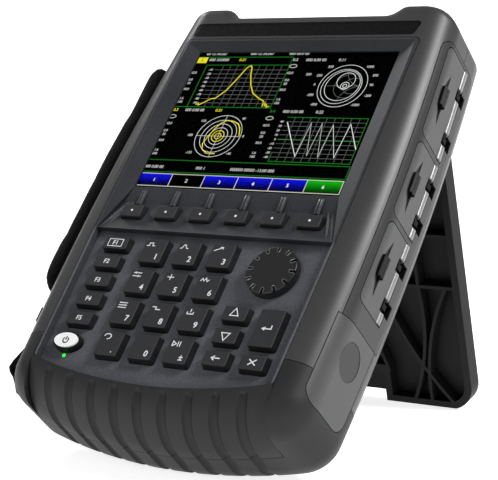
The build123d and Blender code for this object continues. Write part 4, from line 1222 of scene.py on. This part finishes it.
class ANALYZER_OT_edge_knob(bpy.types.Operator):
    """Round the edges of the slots of the knob with grey beads, paler than the knob as painted glints"""

    bl_idname = "analyzer.edge_knob"
    bl_label = "Edge the knob"

    def execute(self, context):
        *edges, level = top_of("knob")
        middle = Vector(middle_of(*edges))
        # Grey far paler than the black knob: painted glints on the slot edges.
        grey = moulded("slot_painted_glint", (0.10, 0.10, 0.104), 0.2,
                       grain=0.0005, depth=0.00001, gloss=0.9)
        mesh = bmesh.new()
        for slot in range(SLOT_COUNT):
            turn = Matrix.Rotation(math.tau * slot / SLOT_COUNT, 2)
            path = [middle + turn @ Vector(point) for point in SLOT_PATH]
            add_bead(mesh, path, SLOT_BEAD, level)
        make_piece("knob_slot_painted_glints", mesh, SCREEN, "knob", [grey])
        return {"FINISHED"}


# Notches of a hinge: their places along the door, half width, and the walls of the black blocks of painted shadow
# in them along the door's axes.
NOTCH_SHARES = (0.22, 0.72)
NOTCH_HALF = 4.0
NOTCH_SHADOW_WALLS = [
    ((-3.6, -3.35), (-3.85, 3.85), (-7.0, 3.45)),
    ((-3.6, 1.2), (-3.85, 3.85), (-7.05, -6.85)),
    ((-3.6, 1.2), (-3.85, -3.7), (-7.0, -2.2)),
    ((-3.6, 1.2), (3.7, 3.85), (-7.0, -2.2)),
    ((-3.5, 1.6), (-1.62, 1.62), (-1.95, 1.95)),
]
# Ends of a barrel as inset and radius.
BARREL_ENDS = ((0.1, 2.2), (0.4, 2.6))
BARREL_POINTS = 28


def door_segments(door):
    """Stretches of a door's hinge barrel between its notches, and the middles of the notches."""
    along = [spot.y for spot in spots_of(door, door_axes(door))]
    low = min(along)
    length = max(along) - low
    notches = [low + length * share for share in NOTCH_SHARES]
    sides = [notch + side * NOTCH_HALF for notch in notches for side in (-1, 1)]
    stops = [low, *sides, low + length]
    return list(zip(stops[::2], stops[1::2])), notches


class ANALYZER_OT_trim_hinges(bpy.types.Operator):
    """Cover the hinge barrels of the doors in a paler colour as painted highlight, and line their notches with
    black blocks of painted shadow
    """

    bl_idname = "analyzer.trim_hinges"
    bl_label = "Trim the hinges"

    def execute(self, context):
        settings = context.scene.analyzer_case
        # Barrels far paler than the doors: painted highlight.
        pale = moulded("barrel_painted_highlight", scaled(settings.doors, 3.2), 0.3, settings.grain,
                       depth=0.00003, gloss=0.6)
        # Black blocks in each notch and over its post: painted shadow.
        black = moulded("notch_painted_shadow", scaled(settings.black, 0.6), 0.6, settings.grain,
                        depth=0.00002, gloss=0.1)
        for door in DOORS:
            axes = door_axes(door)
            segments, notches = door_segments(door)
            mesh = bmesh.new()
            for start, end in segments:
                sections = [(start + inset, radius) for inset, radius in BARREL_ENDS]
                sections += [(end - inset, radius) for inset, radius in reversed(BARREL_ENDS)]
                add_rod(mesh, 0.0, 0.0, sections, BARREL_POINTS)
            make_piece(door + "_barrel", mesh, axes, door, [pale])
            mesh = bmesh.new()
            for notch in notches:
                for x_range, y_range, z_range in NOTCH_SHADOW_WALLS:
                    outline = box_points(*x_range, notch + y_range[0], notch + y_range[1])
                    add_prism(mesh, outline, *z_range)
            make_piece(door + "_notches", mesh, axes, ROOT, [black])
        return {"FINISHED"}


# Slanting end of the soft key band, and its floor, which rises from the bend downward.
BAND_END = ((66.6, -57.5), (75.0, -78.6))
BAND_FLOOR = -1.5
BAND_BEND = -60.5
BAND_SLOPE = 3.9 / 19.7
# Leaves as distance inward from the end and half width.
LEAVES = ((1.7, 1.5), (4.6, 1.1))
LEAF_STEPS = 16
LEAF_TIP = 0.02
LEAF_SINK, LEAF_LIFT, LEAF_CREST = 0.4, 0.05, 0.9
# Two lines on each finger rib as height and radius, paler than the panel as painted highlights.
RIB_SECTIONS = ((-52.4, 0.1), (-53.0, 0.38), (-61.2, 0.38), (-61.8, 0.1))
RIB_SHIFT = 0.85
RIB_LEVEL = 0.82


class ANALYZER_OT_trim_band(bpy.types.Operator):
    """Add the leaf facets at the ends of the soft key band and the lines on its finger ribs, paler than the panel
    as painted highlights
    """

    bl_idname = "analyzer.trim_band"
    bl_label = "Trim the band"

    def execute(self, context):
        settings = context.scene.analyzer_case
        # Paler than the panel: painted highlight on the leaves and rib lines.
        painted_highlight_slate = moulded("leaf_painted_highlight", scaled(settings.panel, 1.8), 0.28, settings.grain * 0.7,
                        depth=0.00003, gloss=0.8)
        mesh = bmesh.new()
        for side in (-1, 1):
            for inward, width in LEAVES:
                self.add_leaf(mesh, side, inward, width)
        make_piece("band_leaves", mesh, SCREEN, ROOT, [painted_highlight_slate])
        mesh = bmesh.new()
        for key in nodes_called("softkey_"):
            left, right, *_ = top_of(key)
            for shift in (-RIB_SHIFT, RIB_SHIFT):
                x = (left + right) / 2 + shift
                add_rod(mesh, x, RIB_LEVEL, RIB_SECTIONS, BEAD_POINTS)
        make_piece("rib_lines", mesh, SCREEN, ROOT, [painted_highlight_slate])
        return {"FINISHED"}

    def add_leaf(self, mesh, side, inward, width):
        """Long leaf with a crest, beside the slanting end of the band."""
        start, end = [Vector((side * (x - inward), y)) for x, y in BAND_END]
        across = left_of(end - start).normalized()
        rings = []
        for step in range(LEAF_STEPS + 1):
            share = step / LEAF_STEPS
            swell = math.sin(math.pi * min(max(share, LEAF_TIP), 1 - LEAF_TIP))
            spot = start.lerp(end, share)
            floor = BAND_FLOOR + max(0.0, BAND_BEND - spot.y) * BAND_SLOPE
            base = floor - LEAF_SINK
            face = floor + LEAF_LIFT
            left = spot + across * width * swell
            right = spot - across * width * swell
            rings.append([(*left, base), (*right, base), (*right, face),
                          (*spot, face + LEAF_CREST * swell), (*left, face)])
        add_tube(mesh, rings)


# Thread of a test port: section as radius and shift, with a pitch of one millimetre.
THREAD_SECTION = ((3.42, -0.34), (3.42, 0.34), (3.78, 0.0))
THREAD_TURNS = 7
THREAD_STEPS = 24
THREAD_START = 7.6
PORT_TIP = 0.5
# Dark star of painted shade in the recess of a case screw.
STAR_RADII = (1.9, 1.25)
STAR_POINTS = 12
STAR_LOW, STAR_HIGH = -0.05, 0.1
SCREWS_MIDDLE = -50.0


class ANALYZER_OT_cut_threads(bpy.types.Operator):
    """Cut the threads of the test ports, and lay a dark star of painted shade in the recess of each case screw"""

    bl_idname = "analyzer.cut_threads"
    bl_label = "Cut the threads"

    def execute(self, context):
        steel = metal("thread_steel", (0.58, 0.55, 0.48), 0.28)
        make_piece("port_threads", self.threads(), SCREEN, ROOT, [steel])
        # Dark metal star: painted shade in each screw's recess.
        dark = metal("recess_painted_shade", (0.02, 0.02, 0.021), 0.5)
        make_piece("screw_recess_shades", self.recesses(), SCREEN, ROOT, [dark])
        return {"FINISHED"}

    def threads(self):
        """Thread round each of the two ports."""
        spots = spots_of("test_ports", SCREEN)
        tip = max(spot.y for spot in spots)
        mesh = bmesh.new()
        for side in (-1, 1):
            port = [spot for spot in spots if spot.x * side > 0 and spot.y > tip - PORT_TIP]
            x = midway([spot.x for spot in port])
            z = midway([spot.z for spot in port])
            rings = []
            for step in range(THREAD_TURNS * THREAD_STEPS + 1):
                turns = step / THREAD_STEPS
                across = math.cos(math.tau * turns)
                up = math.sin(math.tau * turns)
                y = tip - THREAD_START + turns
                rings.append([(x + radius * across, y + shift, z + radius * up)
                              for radius, shift in THREAD_SECTION])
            add_tube(mesh, rings)
        return mesh

    def recesses(self):
        """Dark star of painted shade in the head of each of the four screws."""
        screws = spots_of("case_screws", SCREEN)
        back = min(spot.z for spot in screws)
        mesh = bmesh.new()
        for right, top in ((-1, -1), (-1, 1), (1, -1), (1, 1)):
            head = [spot for spot in screws
                    if spot.x * right > 0 and (spot.y - SCREWS_MIDDLE) * top > 0]
            middle = (midway([spot.x for spot in head]), midway([spot.y for spot in head]))
            star = [point_round(middle, STAR_RADII[step % 2], 360.0 * step / STAR_POINTS)
                    for step in range(STAR_POINTS)]
            add_prism(mesh, star, back + STAR_LOW, back + STAR_HIGH)
        return mesh


# Side of the case along the screen's axes, which bulges as part of a large circle.
SIDE_REACH = 95.55
SIDE_RADIUS = 1750.0
SIDE_WIDEST = -80.2

# Pad of the strap: its middle's distance from the case, and its edges in height and depth.
PAD_MIDDLE = 10.3
PAD_LOW, PAD_HIGH = -114.0, 52.0
PAD_FRONT, PAD_BACK = 7.0, 53.0
PAD_CORNER, PAD_LEAST_CORNER = 12.0, 0.6
PAD_CORNER_POINTS = 6
# Steps along the straight runs between corners.
PAD_RUN_STEPS = (20, 6)
# Rows of the pad's skin as inset from the rim and shift from its middle.
PAD_ROWS = ((2.2, -2.2), (1.3, -1.3), (1.0, 0.0), (1.3, 1.3), (2.2, 2.2))
PAD_VOXEL = 0.0022
SEAM_WIDTH, SEAM_DEPTH = 1.5, 0.9

# Webs: from an end of the pad to the height of its anchor, and the loose end past the lower one.
ANCHORS = ((PAD_HIGH, 68.0), (PAD_LOW, -130.0))
ANCHOR_DISTANCE = 3.5
WEB_FRONT, WEB_BACK = 17.5, 42.5
WEB_HALF, TAIL_HALF = 1.05, 1.0
WEB_CORNER, WEB_CORNER_POINTS = 0.9, 4
WEB_LAP = 8.0
WEB_STEPS = 8
# Loose end as height and distance from the case.
TAIL = [(-127.0, 5.4), (-135.0, 5.6), (-144.0, 6.6), (-152.0, 9.2), (-159.0, 12.4),
        (-163.0, 13.2), (-166.0, 11.2), (-169.0, 7.4), (-172.5, 4.4), (-178.0, 0.4)]

# Stitches: their distance from the pad's middle, length, and thickness along them.
STITCH_SHIFT = 1.9
STITCH_LENGTH = 1.6
STITCH_SECTIONS = ((0.0, 0.12), (0.25, 0.3), (0.75, 0.3), (1.0, 0.12))
STITCH_POINTS = 6


def side_edge(height):
    """Half width of the case at a height along the screen, in millimetres."""
    return SIDE_REACH - SIDE_RADIUS + math.sqrt(SIDE_RADIUS ** 2 - (height - SIDE_WIDEST) ** 2)


def beside(distance, height, depth):
    """Point beside the left side of the case, along the screen's axes."""
    return Vector((-side_edge(height) - distance, height, -depth))


def pad_loop(inset, distance):
    """Loop round the pad at an inset from its rim and a distance from the case."""
    flat = box_points(PAD_LOW + inset, PAD_HIGH - inset, PAD_FRONT + inset, PAD_BACK - inset,
                      max(PAD_CORNER - inset, PAD_LEAST_CORNER), PAD_CORNER_POINTS)
    loop = []
    for index, spot in enumerate(flat):
        after = flat[(index + 1) % len(flat)]
        corner, place = divmod(index, PAD_CORNER_POINTS)
        steps = PAD_RUN_STEPS[corner % 2] if place == PAD_CORNER_POINTS - 1 else 1
        loop += [Vector(spot).lerp(Vector(after), step / steps) for step in range(steps)]
    return [beside(distance, height, depth) for height, depth in loop]


def pad_inset(height, depth):
    """Distance of a point of the pad from its rim."""
    across = abs(depth - (PAD_FRONT + PAD_BACK) / 2) - (PAD_BACK - PAD_FRONT) / 2 + PAD_CORNER
    along = abs(height - (PAD_LOW + PAD_HIGH) / 2) - (PAD_HIGH - PAD_LOW) / 2 + PAD_CORNER
    outside = Vector((max(across, 0), max(along, 0))).length + min(max(across, along), 0)
    return PAD_CORNER - outside


def bake_modifiers(shape):
    """Keep what an object's modifiers show as its own mesh."""
    graph = bpy.context.evaluated_depsgraph_get()
    shown = bpy.data.meshes.new_from_object(shape.evaluated_get(graph))
    before = shape.data
    shape.modifiers.clear()
    shape.data = shown
    bpy.data.meshes.remove(before)


def draw_in_seam(data, seam):
    """Press a sewn channel into the pad along its rim."""
    for vertex in data.vertices:
        spot = vertex.co / MM
        height = spot.y
        depth = -spot.z
        middle = -side_edge(height) - PAD_MIDDLE
        away = (pad_inset(height, depth) - seam) / SEAM_WIDTH
        pull = math.exp(-away * away) * SEAM_DEPTH
        side = 1 if spot.x > middle else -1
        vertex.co.x -= side * pull * MM


def filled_pad(settings):
    """Pad as sewn fabric, filled by pressure, with its seam drawn in; in metres on the screen."""
    mesh = bmesh.new()
    add_tube(mesh, [pad_loop(inset, PAD_MIDDLE + shift) for inset, shift in PAD_ROWS])
    bmesh.ops.recalc_face_normals(mesh, faces=mesh.faces)
    data = bpy.data.meshes.new("strap_pad_shape")
    mesh.to_mesh(data)
    mesh.free()
    data.transform(Matrix.Scale(MM, 4))
    shape = bpy.data.objects.new("strap_pad_shape", data)
    scene = bpy.context.scene
    scene.collection.objects.link(shape)
    remesh = shape.modifiers.new("remesh", "REMESH")
    remesh.mode = "VOXEL"
    remesh.voxel_size = PAD_VOXEL
    bake_modifiers(shape)
    start = [vertex.co.copy() for vertex in shape.data.vertices]
    cloth = shape.modifiers.new("cloth", "CLOTH")
    cloth.settings.use_pressure = True
    cloth.settings.uniform_pressure_force = settings.swell
    cloth.settings.effector_weights.gravity = 0.0
    for step in range(1, settings.frames + 1):
        scene.frame_set(step)
    bake_modifiers(shape)
    scene.frame_set(1)
    for vertex, before in zip(shape.data.vertices, start):
        moved = vertex.co - before
        if moved.length > settings.cap:
            vertex.co = before + moved.normalized() * settings.cap
    draw_in_seam(shape.data, settings.piping / MM)
    smooth = shape.modifiers.new("smooth", "SUBSURF")
    smooth.levels = 1
    bake_modifiers(shape)
    return shape


def web_ring(height, distance, half):
    """Section of a web at a height and a distance from the case."""
    outline = box_points(WEB_FRONT, WEB_BACK, distance - half, distance + half,
                         WEB_CORNER, WEB_CORNER_POINTS)
    return [beside(away, height, depth) for depth, away in outline]


class ANALYZER_OT_sew_strap(bpy.types.Operator):
    """Sew the padded hand strap with its webs and stitches"""

    bl_idname = "analyzer.sew_strap"
    bl_label = "Sew the strap"

    def execute(self, context):
        settings = context.scene.analyzer_strap
        cloth = woven("pad_cloth", (0.0055, 0.0055, 0.0056), thread=0.0011, fuzz=0.06)
        tape = woven("web_tape", (0.007, 0.007, 0.0072), thread=0.0014, fuzz=0.03)
        thread = woven("stitch_thread", (0.013, 0.013, 0.013), thread=0.0004, fuzz=0.05)
        pad = filled_pad(settings)
        pad.name = "strap_pad"
        pad.data.name = "strap_pad"
        pad.data.transform(SCREEN @ Matrix.Scale(1 / MM, 4))
        pad.data.materials.clear()
        pad.data.materials.append(cloth)
        pad.data.shade_smooth()
        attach(pad, ROOT)
        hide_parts("hand_strap")
        make_piece("strap_webs", self.webs(), SCREEN, ROOT, [tape], 60.0)
        seam = self.stitches(settings.piping / MM)
        make_piece("strap_stitches", seam, SCREEN, ROOT, [thread])
        return {"FINISHED"}

    def webs(self):
        """Web from each end of the pad to its anchor, and the loose end on the boot's corner."""
        mesh = bmesh.new()
        for end, anchor in ANCHORS:
            start = end - math.copysign(WEB_LAP, anchor - end)
            rings = []
            for step in range(WEB_STEPS + 1):
                share = step / WEB_STEPS
                ease = share * share * (3 - 2 * share)
                distance = PAD_MIDDLE + (ANCHOR_DISTANCE - PAD_MIDDLE) * ease
                rings.append(web_ring(start + (anchor - start) * share, distance, WEB_HALF))
            add_tube(mesh, rings)
        add_tube(mesh, [web_ring(height, distance, TAIL_HALF) for height, distance in TAIL])
        return mesh

    def stitches(self, seam):
        """Row of stitches along the seam, on both faces of the pad."""
        mesh = bmesh.new()
        out = Vector((1, 0, 0))
        for distance in (PAD_MIDDLE - STITCH_SHIFT, PAD_MIDDLE + STITCH_SHIFT):
            loop = pad_loop(seam, distance)
            trail = []
            for index, spot in enumerate(loop):
                after = loop[(index + 1) % len(loop)]
                steps = max(1, round((after - spot).length / STITCH_LENGTH))
                trail += [spot.lerp(after, step / steps) for step in range(steps)]
            for start, end in zip(trail[:-1:2], trail[1::2]):
                side = (end - start).normalized().cross(out).normalized()
                rings = []
                for share, radius in STITCH_SECTIONS:
                    middle = start.lerp(end, share)
                    rings.append([middle + side * x + out * y
                                  for x, y in ring_points((0, 0), radius, STITCH_POINTS)])
                add_tube(mesh, rings)
        return mesh


# Floor as radius and height of its rings, in metres, just below the object.
FLOOR_RINGS = ((40.0, 0.0), (48.0, 0.3), (54.0, 1.2), (58.0, 3.0), (60.0, 6.0))
FLOOR_POINTS = 96
FLOOR_LEVEL = -0.0005
# Directions that the suns shine from with their width in degrees, and the panel in metres.
KEY_FROM, KEY_SOFTNESS = (0.69, 0.11, 0.715), 18.0
RIM_FROM, RIM_SOFTNESS = (-0.75, 0.35, 0.55), 10.0
FILL_SPOT, FILL_SIZE = (-0.25, -1.5, 1.1), 1.2
SENSOR_WIDTH = 36.0
SIGHT = 200.0


class ANALYZER_OT_set_stage(bpy.types.Operator):
    """Set the pale floor, the soft lights and the camera"""

    bl_idname = "analyzer.set_stage"
    bl_label = "Set the stage"

    def execute(self, context):
        settings = context.scene.analyzer_stage
        context.scene.view_settings.view_transform = "Standard"
        self.lay_floor(settings)
        self.light_world(settings)
        self.hang_sun("key_light", KEY_FROM, settings.key, KEY_SOFTNESS)
        self.hang_sun("rim_light", RIM_FROM, settings.rim, RIM_SOFTNESS)
        self.hang_panel("fill_light", FILL_SPOT, FILL_SIZE, settings.fill)
        self.aim_camera(settings)
        return {"FINISHED"}

    def lay_floor(self, settings):
        """Pale floor that glows evenly and rises at its far rim."""
        mesh = bmesh.new()
        rings = [[mesh.verts.new((x, y, z)) for x, y in ring_points((0, 0), radius, FLOOR_POINTS)]
                 for radius, z in FLOOR_RINGS]
        mesh.faces.new(rings[0])
        for inner, outer in zip(rings, rings[1:]):
            for index in range(FLOOR_POINTS):
                after = (index + 1) % FLOOR_POINTS
                mesh.faces.new((inner[index], outer[index], outer[after], inner[after]))
        data = bpy.data.meshes.new("floor")
        mesh.to_mesh(data)
        mesh.free()
        finish, tree, shader = new_finish("floor_pale")
        cloudy = speckle(tree, size=0.4, detail=3.0)
        coat(tree, shader, {
            "Base Color": between(tree, cloudy, (0.80, 0.80, 0.80, 1), (0.86, 0.86, 0.86, 1)),
            "Emission Color": (1.0, 1.0, 1.0, 1.0),
            "Emission Strength": settings.floor_light,
            "Roughness": 0.9,
        })
        data.materials.append(finish)
        floor = bpy.data.objects.new("floor", data)
        floor.location.z = FLOOR_LEVEL
        bpy.context.scene.collection.objects.link(floor)

    def light_world(self, settings):
        """Even grey surroundings."""
        world = bpy.data.worlds.new("surroundings")
        world.use_nodes = True
        back = next(item for item in world.node_tree.nodes if item.type == "BACKGROUND")
        back.inputs["Color"].default_value = (1.0, 1.0, 1.0, 1.0)
        back.inputs["Strength"].default_value = settings.ambient
        bpy.context.scene.world = world

    def hang_sun(self, name, toward, strength, softness):
        """Broad distant light from a direction."""
        lamp = bpy.data.lights.new(name, "SUN")
        lamp.energy = strength
        lamp.angle = math.radians(softness)
        self.hang(name, lamp, toward)

    def hang_panel(self, name, spot, size, strength):
        """Soft square light aimed at the middle of the object."""
        lamp = bpy.data.lights.new(name, "AREA")
        lamp.energy = strength
        lamp.size = size
        low, high = cad_box
        self.hang(name, lamp, Vector(spot) - (low + high) / 2, spot)

    def hang(self, name, lamp, toward, spot=(0.0, 0.0, 0.0)):
        """Light at a spot that shines from a direction."""
        holder = bpy.data.objects.new(name, lamp)
        holder.location = spot
        holder.rotation_euler = Vector(toward).to_track_quat("Z", "Y").to_euler()
        bpy.context.scene.collection.objects.link(holder)

    def aim_camera(self, settings):
        """Camera where the photograph was taken from."""
        turn = SCREEN.to_3x3()
        eye = SCREEN @ (Vector(settings.camera_spot) / MM)
        back = -(turn @ Vector(settings.camera_look)).normalized()
        right = (turn @ Vector(settings.camera_up)).cross(back).normalized()
        facing = Matrix((right, back.cross(right), back)).transposed().to_4x4()
        lens = bpy.data.cameras.new("camera")
        lens.lens = settings.lens
        lens.sensor_width = SENSOR_WIDTH
        lens.clip_end = SIGHT
        camera = bpy.data.objects.new("camera", lens)
        camera.matrix_world = Matrix.Translation(eye) @ facing
        bpy.context.scene.collection.objects.link(camera)
        bpy.context.scene.camera = camera


class ANALYZER_PT_pieces(bpy.types.Panel):
    """Steps and settings of the analyzer"""

    bl_label = "Analyzer"
    bl_space_type = "VIEW_3D"
    bl_region_type = "UI"
    bl_category = "Analyzer"

    def draw(self, context):
        column = self.layout.column()
        for step in STEPS:
            column.operator(step.bl_idname)
        for group in GROUPS:
            settings = getattr(context.scene, group)
            for label in settings.bl_rna.properties.keys():
                if label not in ("rna_type", "name"):
                    column.prop(settings, label)


GROUPS = {
    "analyzer_case": CaseSettings,
    "analyzer_prints": PrintSettings,
    "analyzer_screen": ScreenSettings,
    "analyzer_strap": StrapSettings,
    "analyzer_stage": StageSettings,
}
STEPS = (
    ANALYZER_OT_finish_case,
    ANALYZER_OT_print_keys,
    ANALYZER_OT_dot_softkeys,
    ANALYZER_OT_mark_power,
    ANALYZER_OT_light_screen,
    ANALYZER_OT_fit_pulls,
    ANALYZER_OT_edge_knob,
    ANALYZER_OT_trim_hinges,
    ANALYZER_OT_trim_band,
    ANALYZER_OT_cut_threads,
    ANALYZER_OT_sew_strap,
    ANALYZER_OT_set_stage,
)


def register():
    """Add the settings, the steps and the panel."""
    for label, group in GROUPS.items():
        bpy.utils.register_class(group)
        setattr(bpy.types.Scene, label, PointerProperty(type=group))
    for step in STEPS:
        bpy.utils.register_class(step)
    bpy.utils.register_class(ANALYZER_PT_pieces)


def unregister():
    """Take the panel, the steps and the settings away."""
    bpy.utils.unregister_class(ANALYZER_PT_pieces)
    for step in reversed(STEPS):
        bpy.utils.unregister_class(step)
    for label, group in GROUPS.items():
        delattr(bpy.types.Scene, label)
        bpy.utils.unregister_class(group)


def main():
    """Run every step."""
    register()
    bpy.ops.analyzer.finish_case()
    bpy.ops.analyzer.print_keys()
    bpy.ops.analyzer.dot_softkeys()
    bpy.ops.analyzer.mark_power()
    bpy.ops.analyzer.light_screen()
    bpy.ops.analyzer.fit_pulls()
    bpy.ops.analyzer.edge_knob()
    bpy.ops.analyzer.trim_hinges()
    bpy.ops.analyzer.trim_band()
    bpy.ops.analyzer.cut_threads()
    bpy.ops.analyzer.sew_strap()
    bpy.ops.analyzer.set_stage()


if __name__ == "__main__":
    main()
